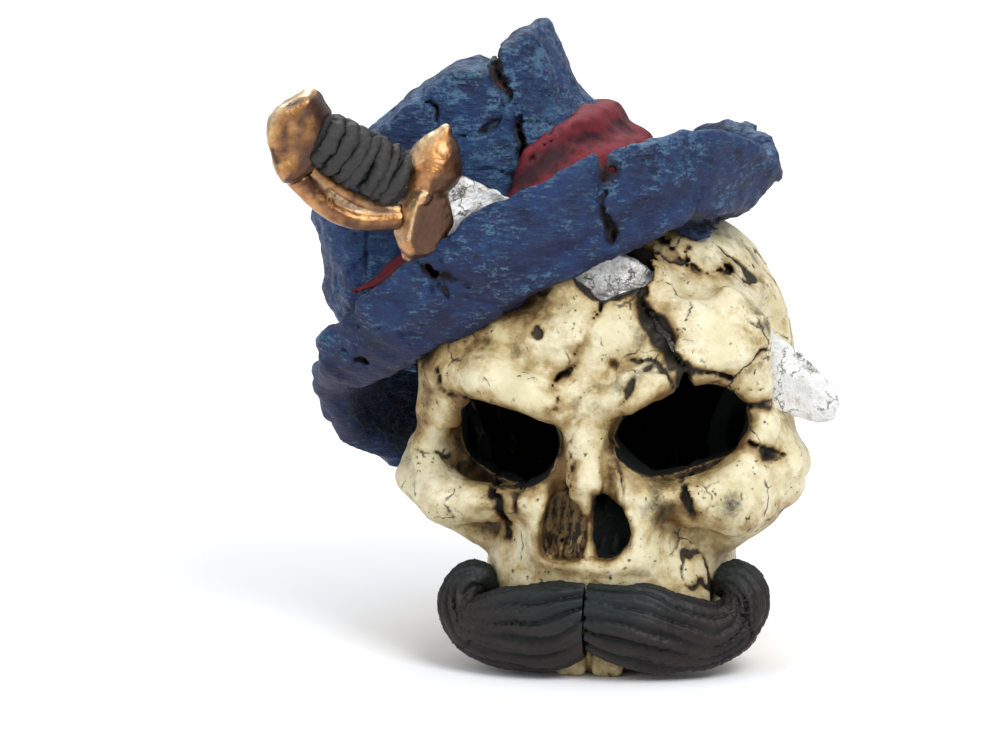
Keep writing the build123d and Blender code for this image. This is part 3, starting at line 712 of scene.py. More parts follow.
def teeth_shape(p, far):
    q = np.stack([np.abs(p[:, 0]) - 4.5, p[:, 1] + 46.5, p[:, 2] - 6], 1)
    q[:, 0] += 0.07 * (p[:, 2] - 4)
    away = np.abs(q) - np.array([2.3, 1.9, 4.3], np.float32)
    f = length(np.maximum(away, 0)) + np.minimum(away.max(1), 0) - 1.65
    return f if far else f + 0.22 * grain(p, 2.4, 51) + 0.12 * grain(p, 1.1, 52)


teeth = cast("teeth", teeth_shape, (-11, -52, -2), (11, -41, 14), 0.4)
points, facing = surface(teeth)
# Painted shade: darker towards the gum, under the moustache, and in the gap between the blocks.
paint(teeth, "closed", fade(points[:, 2], 2, 7) * 0.5 + 0.28 * fade(-np.abs(points[:, 0]), -2, 0))
for even, share in (("sunk", 0.1), ("inner", 0.0), ("stain_and_shadow", 0.5), ("foot", 0.42), ("under", 0.1)):
    paint(teeth, even, np.full(len(points), share))
teeth.data.materials.append(bone_paint)
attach(teeth, "ornament")
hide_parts("incisors")


# Hat crown --------------------------------------
# A separate hollow casting glued over the skull. It has the look of a crumpled felt hat with a
# split peak: blue paint, brushed lighter and metallic on whatever stands proud, with painted
# highlights and glints on faces that look up and painted shade in the hollows and on faces that look down.

CROWN_HEIGHTS = (-4, 0, 17, 30, 39, 47, 60)
CROWN_MIDDLES = (-7.5, -7.5, -9.5, -10.5, -11.7, -11.5, -11.5)
CROWN_HALF_X = (43, 42.5, 41, 37.5, 35.7, 35.5, 35.5)
CROWN_HALF_Y = (41, 41, 40, 38, 36, 34, 33)


def crown_wall(q):
    """About the distance outwards from the crown's side wall, in hat coordinates."""
    middle = np.interp(q[:, 2], CROWN_HEIGHTS, CROWN_MIDDLES)
    half_x = np.interp(q[:, 2], CROWN_HEIGHTS, CROWN_HALF_X)
    half_y = np.interp(q[:, 2], CROWN_HEIGHTS, CROWN_HALF_Y)
    around = np.abs((q[:, 0] - middle) / half_x) ** 2.5 + np.abs(q[:, 1] / half_y) ** 2.5
    return ((around ** (1 / 2.5)) - 1) * 37


def crown_smooth(p):
    q = hat_frame(p)
    bulge = fade(-q[:, 0], 25, 32) * fade(q[:, 2], 0, 8) * (1 - fade(q[:, 2], 38, 52))
    wall = crown_wall(q) - bulge * (4 + 1.3 * grain(p, 9, 79))
    top = np.interp(q[:, 0], (-60, -52, -44, -31, -20, -9, -3, 2, 7, 9.5, 12, 17, 23.5, 30),
                    (32, 36.5, 44, 50.5, 53.5, 57, 59, 60, 58.5, 56, 59.5, 60.5, 60.5, 57))
    top = top - 0.0035 * (q[:, 1] + 14) ** 2 - 5 * fade(q[:, 1], 10, 30)
    f = np.maximum(wall, (q[:, 2] - top) * 0.85)
    f = -join(-wall, -(q[:, 2] - top) * 0.85, 3)
    f = cut(f, ball(q, (-8, 6, 62), (27, 17, 13)), 5)
    f = cut(f, ball(q, (12, -42, 44), (9, 8, 22), (0, 18, 0)), 5)
    f = cut(f, ball(q, (-30, -43, 28), (13, 9, 17), (0, -20, 0)), 6)
    f = cut(f, ball(q, (-20, 44, 30), (20, 10, 18)), 8)
    f = cut(f, ball(q, (38, 4, 47), (10, 16, 14)), 5)
    f = cut(f, ball(q, (-61, 8, 26), (9, 14, 10)), 5)
    room = np.maximum(crown_wall(q) + 5, q[:, 2] - np.minimum(41, top - 11))
    return cut(f, room)


CROWN_CRACKS = {
    "front": (
        (2.0, 4.6, ((-31, 163), (-29, 155), (-26, 149), (-24, 145))),
        (1.0, 3.0, ((-24, 145), (-22, 140), (-20.5, 135), (-20, 130))),
        (1.1, 3.0, ((-27, 149), (-25.6, 146), (-25.4, 142), (-27.4, 138.7), (-31.6, 137.1), (-35.2, 136.3))),
        (0.5, 1.8, ((-46, 146), (-41.8, 143.5), (-41.2, 139))),
        (0.5, 1.8, ((-64, 112), (-60, 104), (-66, 98))),
    ),
    "back": (
        (0.7, 2.4, ((-50, 118), (-40, 124), (-34, 134), (-20, 136))),
        (0.6, 2.0, ((-40, 124), (-30, 116), (-32, 104))),
        (0.6, 2.0, ((-16, 112), (-24, 120), (-12, 128), (-14, 140))),
    ),
    "right": (
        (0.7, 2.4, ((-14, 140), (0, 134), (8, 138), (20, 132))),
    ),
    "left": (
        (0.7, 2.4, ((-8, 112), (6, 104), (16, 108), (26, 98))),
        (0.5, 2.0, ((6, 104), (2, 92))),
    ),
}


def felt_rough(q, g, seed):
    """Brushed, lumpy surface of the sculpted felt."""
    g = g + 0.9 * grain(q, 13, seed) + 0.65 * grain(q, 5.5, seed + 1) + 0.36 * grain(q, 2.6, seed + 2)
    strokes = grain(q * np.array([0.45, 1, 1.5], np.float32), 1.6, seed + 3)
    g = g + 1.1 * creases(q, 17, 0.06, seed + 5) + 0.8 * creases(q, 9, 0.08, seed + 7)
    return g + 0.34 * strokes + 0.9 * np.clip(grain(q, 3.0, seed + 4) - 0.5, 0, 1)


def near_only(f, p, change, reach=4.5):
    near = np.abs(f) < reach
    f = f.copy()
    f[near] = change(p[near], f[near])
    return f


def broken_felt(p, smooth, cracks, seed):
    """The smooth felt with its cracks and its brushed surface."""
    def change(q, f):
        g = f
        for path, width, depth, seen, crack_seed in each(cracks, 61, 3):
            g = crack(q, g, path, width, depth, seen, crack_seed, f)
        return felt_rough(q, g, seed)

    return near_only(smooth, p, change)


def crown_shape(p, far):
    f = crown_smooth(p)
    if not far:
        f = broken_felt(p, f, CROWN_CRACKS, 71)
    f = np.maximum(f, 0.4 - skull_mass(p))
    return np.maximum(f, -blade_mass(p, 0.5))


# The blade passes through both castings, so its form is needed here.
GUARD_AT = np.array((-42, -44, 124), np.float32)
SWORD_DIR = np.array((0.846, 0.245, -0.473), np.float32)
SWORD_DIR /= np.sqrt(SWORD_DIR @ SWORD_DIR)
SWORD_UP = np.array((0, 0, 1), np.float32) - SWORD_DIR * SWORD_DIR[2]
SWORD_UP /= np.sqrt(SWORD_UP @ SWORD_UP)
SWORD_OUT = np.cross(SWORD_UP, SWORD_DIR)
sword_axes = np.stack([SWORD_DIR, SWORD_UP, SWORD_OUT], 1).astype(np.float32)


def sword_frame(p):
    """(along towards the tip, up across the blade, out of its flat), from the guard's middle."""
    return (p - GUARD_AT) @ sword_axes


def blade_mass(p, grow=0.0):
    s, w, n = sword_frame(p).T
    half = np.interp(s, (0, 20, 92, 105, 114, 119, 122.5), (7.6, 8.4, 8.8, 8.2, 6.4, 4.6, 1.5))
    middle = np.interp(s, (0, 96, 122), (0, -0.4, -3.2))
    thick = 2.2 * np.clip(1.15 - np.abs(w - middle) / np.maximum(half, 1) * 0.55, 0.45, 1)
    f = np.maximum(np.abs(w - middle) - half, (np.abs(n) - thick))
    return np.maximum(f, np.maximum(s - 122.3, 2 - s)) - grow


crown = cast("hat_crown_felt", crown_shape, (-84, -42, 74), (24, 50, 166), 0.75, 0.5)


def paint_felt(piece, shape, light=0.0):
    points, facing = surface(piece)
    paint(piece, "closed", shade(shape, points, facing, (2, 5, 10)))
    paint(piece, "sunk", -shape(points) / 2.4)
    paint(piece, "proud", edges(shape, points, facing, 3.5))
    # Painted light: faces that look up, and the whole crown a little more, get lighter paint; faces that look down
    # darker.
    paint(piece, "lit", 0.5 + 0.5 * facing[:, 2] + light)


paint_felt(crown, crown_smooth, 0.22)

felt = Finish("hat_paint")
at = felt.place()
cloud = felt.noise(14, 4, 0.6, 11, at)
mottle = felt.noise(4, 5, 0.65, 12, at)
along = felt.node("ShaderNodeMapping", {}, {"Vector": at, "Rotation": (0, 0.4, 0), "Scale": (0.5, 1, 1.7)})
streak = felt.noise(1.5, 5, 0.65, 13, along)
fine = felt.noise(0.7, 3, 0.6, 14, at)
blue = felt.blend(cloud.clear(0.38, 0.60), (0.011, 0.019, 0.062), (0.012, 0.038, 0.130))
lit = felt.painted("lit")
# Brushed lighter on what stands proud, plus a painted highlight on faces that look up.
lift_and_highlight = felt.painted("proud") * 0.35 + lit * 0.5 + (mottle - 0.5) * 1.6 + (streak - 0.5) * 3.4
lift_and_highlight = lift_and_highlight.clear(0.30, 1.35)
# Painted glints: small light flecks, a few more on faces that look up.
painted_glint = streak * 0.8 + fine * 0.55 + lit * 0.12 + (felt.noise(7, 3, 0.6, 15, at) - 0.5) * 0.7
split = (felt.painted("sunk") + (fine - 0.5) * 0.3).clear(0.5, 0.95)
# Coats: dark mottle, painted shade on faces that look down, lift and painted highlight, painted glints, painted
# shade in the hollows, dark patches, and the cracks.
blue = felt.coats(
    blue,
    (mottle.clear(0.54, 0.70) * 0.8, (0.022, 0.016, 0.024)),
    ((1 - lit.clear(0.15, 0.6)) * 0.6, (0.020, 0.012, 0.030)),
    (lift_and_highlight * 0.85, (0.042, 0.105, 0.205)),
    (painted_glint.clear(0.80, 0.92) * 0.4, (0.14, 0.29, 0.40)),
    ((felt.painted("closed") + (cloud - 0.5) * 0.3).clear(0.30, 0.85) * 0.9, (0.012, 0.007, 0.012)),
    ((1 - mottle.clear(0.30, 0.42)) * 0.8, (0.008, 0.006, 0.009)),
    (split, felt.blend(mottle.clear(0.45, 0.6), (0.014, 0.009, 0.009), (0.085, 0.052, 0.042))),
)
height = mottle * 0.7 + streak * 1.1 + fine * 0.35
hat_paint = felt.done(Base_Color=blue, Metallic=lift_and_highlight * 0.35, Roughness=0.50 - lift_and_highlight * 0.16 + split * 0.3,
                      Specular_IOR_Level=0.28, Normal=felt.bump(height, 1.3, 1.0))
crown.data.materials.append(hat_paint)
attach(crown, "ornament")
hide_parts("hat_crown")


# Hat brim ---------------------------------------
# Its own casting: the front and back are turned up beside the crown and meet in a point on the
# right, and the left side hangs down behind the temple.

BRIM_ANGLES = (-180, -165, -150, -133, -115, -90, -60, -35, -18, -7, 0, 7, 20, 45, 70, 90, 115, 135, 155, 170, 180)
BELLY_R = (65.5, 65.5, 64.5, 61.5, 60, 59, 59, 58.5, 57, 55, 54.5, 55, 56.5, 58, 59, 60, 63, 65.5, 66, 66.5, 65.5)
BELLY_Z = (-8, -6, -4, -3, 0, 4, 5, 4, 1, -2, -2, -2, -2, -2, -3, -5, -8, -9, -9, -9, -8)
CREST_R = (66, 65, 65, 65, 63, 62, 62, 62.5, 63, 63, 63.5, 63, 62, 61, 60.5, 60, 61, 62, 61, 61.5, 66)
CREST_Z = (-22, -3, 5.5, 10.5, 17, 23.5, 24.5, 21, 12, 4, 1.5, 4.5, 9, 12.5, 6, -4, -18, -29, -38, -36, -22)


def brim_smooth(p):
    q = hat_frame(p)
    angle = np.degrees(np.arctan2(q[:, 1] / 0.8, q[:, 0]))
    reach = np.sqrt(q[:, 0] ** 2 + (q[:, 1] / 0.8) ** 2)
    squash = np.sqrt(q[:, 0] ** 2 + q[:, 1] ** 2) / np.maximum(reach, 1)
    ripple = 1.7 * grain(np.stack([q[:, 0], q[:, 1], 0 * q[:, 2]], 1), 6, 81)
    left = fade(-q[:, 0], 25, 50)
    belly_r = np.interp(angle, BRIM_ANGLES, BELLY_R)
    belly_z = np.interp(angle, BRIM_ANGLES, BELLY_Z)
    crest_r = np.interp(angle, BRIM_ANGLES, CREST_R) + ripple * (0.6 + 0.6 * left)
    lobes = np.abs(np.sin(angle / 9.5 + 0.6)) ** 0.5 * 3.2 - 2.2
    crest_z = np.interp(angle, BRIM_ANGLES, CREST_Z) + ripple * (0.4 + 0.6 * left)
    crest_z = crest_z - left * lobes * fade(-q[:, 2], 5, 18)
    crest_r = crest_r + left * lobes * 0.5
    flat = np.stack([reach * squash, q[:, 2]], 1)
    spots = [np.stack([r * squash, z], 1) for r, z in (
        (40 + 0 * reach, belly_z + 1), (belly_r - 4, belly_z), (belly_r + 0.5, belly_z * 0.55 + crest_z * 0.45),
        (crest_r, crest_z))]
    made = None
    for start, end, thick in zip(spots, spots[1:], (3.4, 3.4, 3.1)):
        run = end - start
        reached, whole = np.einsum("ij,ij->i", flat - start, run), np.einsum("ij,ij->i", run, run)
        share = np.clip(reached / np.maximum(whole, 1e-3), 0, 1)
        bar = length(flat - start - share[:, None] * run) - thick
        made = bar if made is None else join(made, bar, 4)
    return made


BRIM_CRACKS = {
    "front": (
        (2.6, 4.5, ((1.9, 137), (2.5, 128))),
        (1.3, 3.5, ((2.5, 128), (2.3, 120.9), (4.1, 112))),
        (0.5, 1.4, ((-44.6, 106.4), (-40.4, 102.8), (-36.3, 97.7), (-35.3, 92.2))),
        (0.35, 1.2, ((-40.4, 102.8), (-35, 102), (-30.6, 100.2))),
        (0.6, 2.2, ((-67, 79.5), (-64, 78.5), (-60, 77))),
        (0.6, 2.2, ((-62, 58), (-58, 59.5), (-54, 59))),
    ),
    "back": (
        (0.8, 2.6, ((-20, 100), (-14, 92), (-16, 84))),
        (0.8, 2.6, ((16, 118), (20, 110), (16, 102))),
        (0.8, 2.6, ((-48, 84), (-42, 74), (-46, 62))),
    ),
    "left": (
        (0.7, 2.4, ((8, 80), (14, 70), (10, 56))),
    ),
}


def brim_shape(p, far):
    f = brim_smooth(p)
    q = hat_frame(p)
    lining = np.maximum(skull_mass(p) - 2.6, np.maximum(np.abs(q[:, 2] - 6) - 13, -14 - p[:, 1]))
    f = join(f, np.maximum(lining, np.sqrt(q[:, 0] ** 2 + (q[:, 1] / 0.8) ** 2) - 53), 1.5)
    if not far:
        f = broken_felt(p, f, BRIM_CRACKS, 91)
    f = np.maximum(f, 0.4 - skull_mass(p))
    f = np.maximum(f, -blade_mass(p, 0.5))
    return np.maximum(f, -(crown_wall(hat_frame(p)) - 0.3))


brim = cast("hat_brim_felt", brim_shape, (-86, -58, 40), (50, 62, 142), 0.85, 0.55)
paint_felt(brim, brim_smooth, 0.04)
brim.data.materials.append(hat_paint)
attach(brim, "ornament")
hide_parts("hat_brim")


# Hat band ---------------------------------------
# A wide, folded sash cast round the foot of the crown: burgundy with painted shade in the folds
# and a redder painted highlight on its upper edge and other faces that look up.

def band_smooth(p):
    q = hat_frame(p)
    out = crown_wall(q)
    high = np.interp(q[:, 0], (-36, -25, 3, 7, 12, 25, 36), (18, 22, 24, 29, 33.5, 35.5, 32))
    high = high + (32 - high) * fade(q[:, 1], -10, 15)
    middle, half = (high + 15) / 2, (high - 15) / 2
    wide = 3.2 + 0.6 * fade(q[:, 0], 8, 26)
    bulge = 1 - 0.35 * ((q[:, 2] - middle) / half) ** 2
    a = np.abs(out - 0.4) - wide * bulge + 1.6
    b = np.abs(q[:, 2] - middle) - half + 1.6
    both = np.stack([np.maximum(a, 0), np.maximum(b, 0)], 1)
    return length(both) + np.minimum(np.maximum(a, b), 0) - 1.6


def band_change(p, g):
    q = hat_frame(p)
    turn = np.degrees(np.arctan2(q[:, 1], q[:, 0] + 11))
    fold = q[:, 2] + 2.4 * np.sin(np.radians(turn * 2.2)) + 1.6 * grain(q, 9, 101)
    g = g + 0.85 * np.sin(fold / 1.9) + 0.5 * grain(q, 6, 102) + 0.25 * grain(q, 2.2, 103)
    return crack(p, g, ((-16, 143), (-13, 136), (-18, 130)), 0.4, 1.6, "front", 104)


def band_shape(p, far):
    f = band_smooth(p)
    if not far:
        f = near_only(f, p, band_change)
    f = np.maximum(f, -(crown_smooth(p) - 0.3 + 0.9))
    f = np.maximum(f, 0.4 - skull_mass(p))
    return np.maximum(f, -blade_mass(p, 0.5))


band = cast("hat_sash", band_shape, (-80, -45, 78), (26, 53, 148), 0.8, 0.6)
points, facing = surface(band)
paint(band, "closed", shade(band_smooth, points, facing, (1, 2.5, 5)))
paint(band, "sunk", 0.5 - band_smooth(points) / 1.4)
paint(band, "lit", 0.5 + 0.5 * facing[:, 2])

sash = Finish("sash_paint")
at = sash.place()
cloud, mottle, fine = sash.noises(at, 21, 9, 3, 0.8)
# Coats: painted shade in the folds, a redder painted highlight on faces that look up, dark mottle.
red = sash.coats(
    sash.blend((cloud * 0.6 + mottle * 0.6).clear(0.42, 0.78), (0.065, 0.005, 0.010), (0.17, 0.011, 0.020)),
    (sash.painted("sunk").clear(0.55, 1.0), (0.028, 0.004, 0.008)),
    ((sash.painted("lit").clear(0.5, 0.95) * mottle).clear(0.3, 0.6) * 0.6, (0.24, 0.035, 0.048)),
    (mottle.clear(0.62, 0.72) * 0.6, (0.03, 0.008, 0.010)),
)
sash_paint = sash.done(Base_Color=red, Roughness=0.5 + mottle * 0.2, Specular_IOR_Level=0.2,
                       Normal=sash.bump(mottle + fine * 0.4, 0.5, 0.8))
band.data.materials.append(sash_paint)
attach(band, "ornament")
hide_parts("hat_band")


# Moustache --------------------------------------
# Two thick castings glued under the nose, combed outwards and curled up at the ends: charcoal
# paint with grooves along the hair, lighter on the ridges, painted shade down in the grooves and a
# greener painted highlight on top.

MOUSTACHE_PATHS = {  # (place, half height, depth against height)
    -1: (((-0.5, -51, 17), 7.4, 0.85), ((-5, -51.8, 15.2), 9.4, 0.78), ((-10, -51.8, 13.2), 11.2, 0.68),
         ((-16, -50.6, 12.5), 10.8, 0.68), ((-23, -47.8, 11.2), 9.4, 0.72), ((-29, -44.8, 10.9), 7.2, 0.85),
         ((-33.6, -42.4, 13.6), 5.6, 1), ((-35, -40.6, 18), 4.9, 1), ((-33, -39.4, 22), 4.6, 1),
         ((-29.6, -38.6, 23), 4.0, 1), ((-27, -38, 20.6), 3.0, 1)),
    1: (((0.5, -51, 17), 7.4, 0.85), ((6, -51.8, 15.4), 9.4, 0.78), ((14, -51.6, 13.8), 10.7, 0.7),
        ((22, -48.8, 12), 10, 0.72), ((30, -45, 10.8), 8.2, 0.85), ((36, -41.6, 12.6), 6.8, 0.95),
        ((39.4, -39, 17.4), 5.6, 1), ((39, -37.6, 22), 5.2, 1), ((36, -36.6, 24.4), 4.6, 1),
        ((33.2, -36, 22), 3.4, 1)),
}


def finer(path, rounds=2):
    """More points on a path, with its corners rounded off."""
    rows = np.array([(*spot, size, deep) for spot, size, deep in path], np.float32)
    for _ in range(rounds):
        middle = np.stack([rows[:-1] * 0.75 + rows[1:] * 0.25, rows[:-1] * 0.25 + rows[1:] * 0.75], 1)
        rows = np.concatenate([rows[:1], middle.reshape(-1, 5), rows[-1:]])
    return rows


def lobe(p, rows):
    """(distance, place along the path, angle round it) for a swept lobe."""
    best = np.full(len(p), 1e6, np.float32)
    along, angle = np.zeros(len(p), np.float32), np.zeros(len(p), np.float32)
    for k, (a, b) in enumerate(zip(rows, rows[1:])):
        run = b[:3] - a[:3]
        share = np.clip((p - a[:3]) @ run / (run @ run), 0, 1)
        off = p - a[:3] - share[:, None] * run
        size, deep = a[3] + (b[3] - a[3]) * share, a[4] + (b[4] - a[4]) * share
        off[:, 1] /= deep
        gap = (length(off) - size) * np.minimum(deep + 0.1, 1)
        up = np.cross(run / np.sqrt(run @ run), np.array((0, -1, 0), np.float32))
        closer = gap < best
        best = np.where(closer, gap, best)
        along = np.where(closer, k + share, along)
        angle = np.where(closer, np.arctan2(off @ up, -off[:, 1]), angle)
    return best, along / (len(rows) - 1), angle


def moustache_cast(side, name):
    rows = finer(MOUSTACHE_PATHS[side])

    def smooth(p):
        f = lobe(p, rows)[0]
        f = np.maximum(f, 0.35 - side * p[:, 0])
        return np.maximum(f, 0.6 - p[:, 2])

    def comb(p, g):
        _, along, angle = lobe(p, rows)
        flow = np.stack([along * 55, np.cos(angle) * 9, np.sin(angle) * 9], 1).astype(np.float32)
        wander = 0.18 * np.sin(along * 7 + 1) + 0.34 * grain(flow, 13, 111) + 0.10 * grain(flow, 4.5, 112)
        strand = np.abs(np.sin((angle + wander) * 6.5)) ** 0.7
        hair_line = np.abs(np.sin((angle + wander * 1.3) * 17 + 1)) ** 0.8
        deep = 0.85 + 0.8 * grain(flow, 7, 113)
        body = fade(0.97 - along, 0, 0.14)
        g = g + body * (deep * (0.95 - strand) * 1.35 + (0.8 - hair_line) * 0.5 - 0.6)
        return g + 0.45 * grain(p, 8, 114) + 0.12 * grain(p, 1.6, 115) + 1.0 * creases(p, 12, 0.05, 116)

    def shape(p, far):
        f = smooth(p)
        if not far:
            f = near_only(f, p, comb, 3.5)
        f = np.maximum(f, 0.3 - skull_mass(p))
        f = np.maximum(f, -(teeth_shape(p, True) - 0.15))
        return np.maximum(f, 0.3 - p[:, 2])

    low, high = ((-46, -63, -1), (0, -28, 32)) if side < 0 else ((0, -63, -1), (50, -26, 34))
    piece = cast(name, shape, low, high, 0.5, 0.7)
    points, facing = surface(piece)
    paint(piece, "closed", shade(smooth, points, facing, (1, 2.5, 5)))
    paint(piece, "sunk", 0.5 - smooth(points) / 2.0)
    # Painted highlight on the top of the moustache.
    paint(piece, "lit", fade(points[:, 2] - 0.25 * np.abs(points[:, 0]), 8, 20))
    return piece


hair = Finish("hair_paint")
at = hair.place()
cloud, mottle, fine = hair.noises(at, 31, 12, 3, 0.7)
sunk = hair.painted("sunk")
# Coats: lighter on the ridges of the hair, a greener painted highlight on top, painted shade in the grooves.
dark = hair.coats(
    hair.blend(cloud.clear(0.35, 0.65), (0.0055, 0.0042, 0.0044), (0.011, 0.0085, 0.0085)),
    ((1 - sunk + (mottle - 0.5) * 0.8).clear(0.42, 0.9) * 0.75, (0.028, 0.021, 0.020)),
    (hair.painted("lit") * 0.65, (0.008, 0.018, 0.018)),
    (sunk.clear(0.45, 0.75), (0.003, 0.0028, 0.003)),
)
hair_paint = hair.done(Base_Color=dark, Roughness=0.38 + mottle * 0.2, Specular_IOR_Level=0.24,
                       Normal=hair.bump(mottle + fine * 0.5, 0.3, 0.8))
for side, name in ((-1, "moustache_left"), (1, "moustache_right")):
    piece = moustache_cast(side, name + "_hair")
    piece.data.materials.append(hair_paint)
    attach(piece, "ornament")
    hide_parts(name)


# Cutlass blade ----------------------------------
# A flat casting pushed through hat and skull, with silver paint that has flaked and crazed.

def blade_shape(p, far):
    f = blade_mass(p) + 0.05
    if far:
        return f
    lumps = 0.45 * grain(p, 3.2, 121) + 0.35 * grain(p, 1.5, 122) + 0.7 * creases(p, 5, 0.08, 124)
    f = f + lumps * fade(-sword_frame(p)[:, 0], -104, -92) + 0.16 * grain(p, 3, 123) + 0.08 * grain(p, 1.2, 122)
    return crack(p, f, ((62, 66.5), (60, 63), (59.2, 59)), 0.4, 1.4)


blade = cast("blade", blade_shape, (-48, -52, 56), (66, -6, 136), 0.5, 0.4, 2.0)
paint(blade, "tip", fade(surface(blade)[0][:, 0], 20, 40))

silver = Finish("silver_paint")
at = silver.place()
cloud, mottle, fine = (silver.noise(*row, at) for row in ((6, 4, 0.6, 40), (2.6, 5, 0.65, 41), (0.8, 4, 0.6, 42)))
hilt_end = 1 - silver.painted("tip")
crumpled = silver.noise(4, 5, 0.7, 44, at, "Color").warp(at, 0.012)
crease = silver.node("ShaderNodeTexVoronoi", {"feature": "DISTANCE_TO_EDGE"},
                     {"Vector": crumpled, "Scale": 170.0}, "Distance")
crease = (1 - crease.clear(0.01, 0.05)) * (cloud + hilt_end * 0.04).clear(0.50, 0.58)
grime = (mottle + (fine - 0.5) * 0.6 + hilt_end * 0.05).clear(0.54, 0.70)
metal = silver.coats(
    silver.blend(cloud.clear(0.4, 0.6), (0.66, 0.66, 0.65), (0.84, 0.84, 0.82)),
    (grime * 0.75, (0.34, 0.29, 0.21)),
    (crease * 0.85, (0.08, 0.055, 0.035)),
)
silver_paint = silver.done(Base_Color=metal, Metallic=0.42 - grime * 0.3, Roughness=0.32 + fine * 0.25,
                           Normal=silver.bump(mottle + fine * 0.6 - crease * 0.7, 0.7, 0.9))
blade.data.materials.append(silver_paint)
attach(blade, "ornament")
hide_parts("sword_blade")


# Guard, knuckle bow and pommel ------------------
# Three copper-painted castings on the cutlass's hilt: two spindle lobes, a double strap that
# curves round the hand, and a bird's-head pommel.

GUARD_DIR = np.array((0.24, 0.05, 0.965), np.float32)
GUARD_DIR /= np.sqrt(GUARD_DIR @ GUARD_DIR)


def flat_at(x, z, out=0.0):
    """The point of the sword's own plane that lies at x and z."""
    rise = (x - GUARD_AT[0]) * SWORD_OUT[0] + (z - GUARD_AT[2]) * SWORD_OUT[2]
    return x, GUARD_AT[1] + (out - rise) / SWORD_OUT[1], z


def guard_smooth(p):
    f = chain(p, [((-37.4, -44, 140.4), 1.7), ((-39.4, -44.6, 135.2), 4.9), ((-40.6, -44.8, 131), 7.0),
                  ((-42, -44.4, 126.4), 5.4)], 2.5)
    low = chain(p, [((-42.4, -44.4, 122.4), 5.6), ((-43, -44.8, 118), 7), ((-44.3, -44.6, 113.4), 5.9),
                    ((-46.8, -43.8, 108), 2.2)], 2.5)
    ridge = p[:, 0] + 44.2 - 0.21 * (p[:, 2] - 120)
    left_face = -0.72 * ridge - 0.69 * (p[:, 1] + 51.2)
    right_face = 0.58 * ridge - 0.81 * (p[:, 1] + 51.2)
    low = np.maximum(low, np.maximum(left_face, right_face))
    f = join(f, low, 0.7)
    return join(f, ball(p, (-42.2, -50, 124), (1.8, 1.6, 2.0)), 0.8)


POMMEL = ((-71.5, 151.8), (-68.9, 150.2), (-67.4, 147.3), (-65.8, 144.6), (-67.4, 138), (-69.4, 133), (-71, 129.8),
          (-76.5, 127), (-79.8, 131.8), (-81, 137), (-81.8, 142), (-80.6, 146.4), (-76, 149.4))


def pommel_smooth(p):
    n = sword_frame(p)[:, 2]
    flat = outline(p[:, (0, 2)], POMMEL, 1)
    f = -join(-flat, -(np.abs(n) - 5.6), 4)
    return cut(f, ball(p, flat_at(-73, 133, 8), (6, 4, 4)), 2)


BOW_OUTER = ((-77, 133, 3.6), (-73.3, 127.7, 3.1), (-69.7, 123.3, 2.8), (-65.6, 119.7, 2.6), (-60.6, 117.4, 2.6),
             (-55.6, 116.8, 2.5), (-49, 117.4, 2.6))
BOW_INNER = ((-70.6, 131.2, 1.8), (-67.9, 128.7, 1.8), (-64, 125.7, 1.7), (-59.7, 122.9, 1.7), (-54.4, 120.4, 1.7),
             (-49.5, 119.6, 1.8))


def strap(p, rows, thinner=0.0):
    rows = finer([(flat_at(x, z), r - thinner, 1) for x, z, r in rows])
    return chain(p, [(row[:3], row[3]) for row in rows])


def bow_smooth(p):
    web = [tuple((a + b) / 2 for a, b in zip(out, into)) for out, into in zip(BOW_OUTER[1:], BOW_INNER[1:])]
    f = join(strap(p, BOW_OUTER), strap(p, BOW_INNER), 0.5)
    return join(f, strap(p, web, 0.9), 0.6)


def guard_shape(p, far):
    f = guard_smooth(p)
    return f if far else f + 0.22 * grain(p, 5, 131) + 0.14 * grain(p, 1.7, 132) + 0.08 * grain(p, 0.9, 133)


def pommel_shape(p, far):
    f = pommel_smooth(p)
    return f if far else f + 0.35 * grain(p, 5, 134) + 0.15 * grain(p, 1.8, 135)


def bow_shape(p, far):
    f = bow_smooth(p)
    if far:
        return f
    f = f + 0.16 * grain(p, 5, 136) + 0.10 * grain(p, 1.6, 137)
    return np.maximum(f, np.maximum(-(guard_smooth(p) + 0.1), -(pommel_smooth(p) + 0.1)))


copper = Finish("copper_paint")
at = copper.place()
cloud, mottle, fine = copper.noises(at, 51, 7, 2.2, 0.7)
# Rubbed lighter on proud edges, plus a painted highlight on faces that look up and to the left.
wear_and_highlight = copper.painted("proud") * 0.8 + copper.painted("lit") * 0.6 + (mottle - 0.5) * 0.9
# Painted shade on faces that look right and down.
shaded_side = copper.painted("under") + (mottle - 0.5) * 0.8
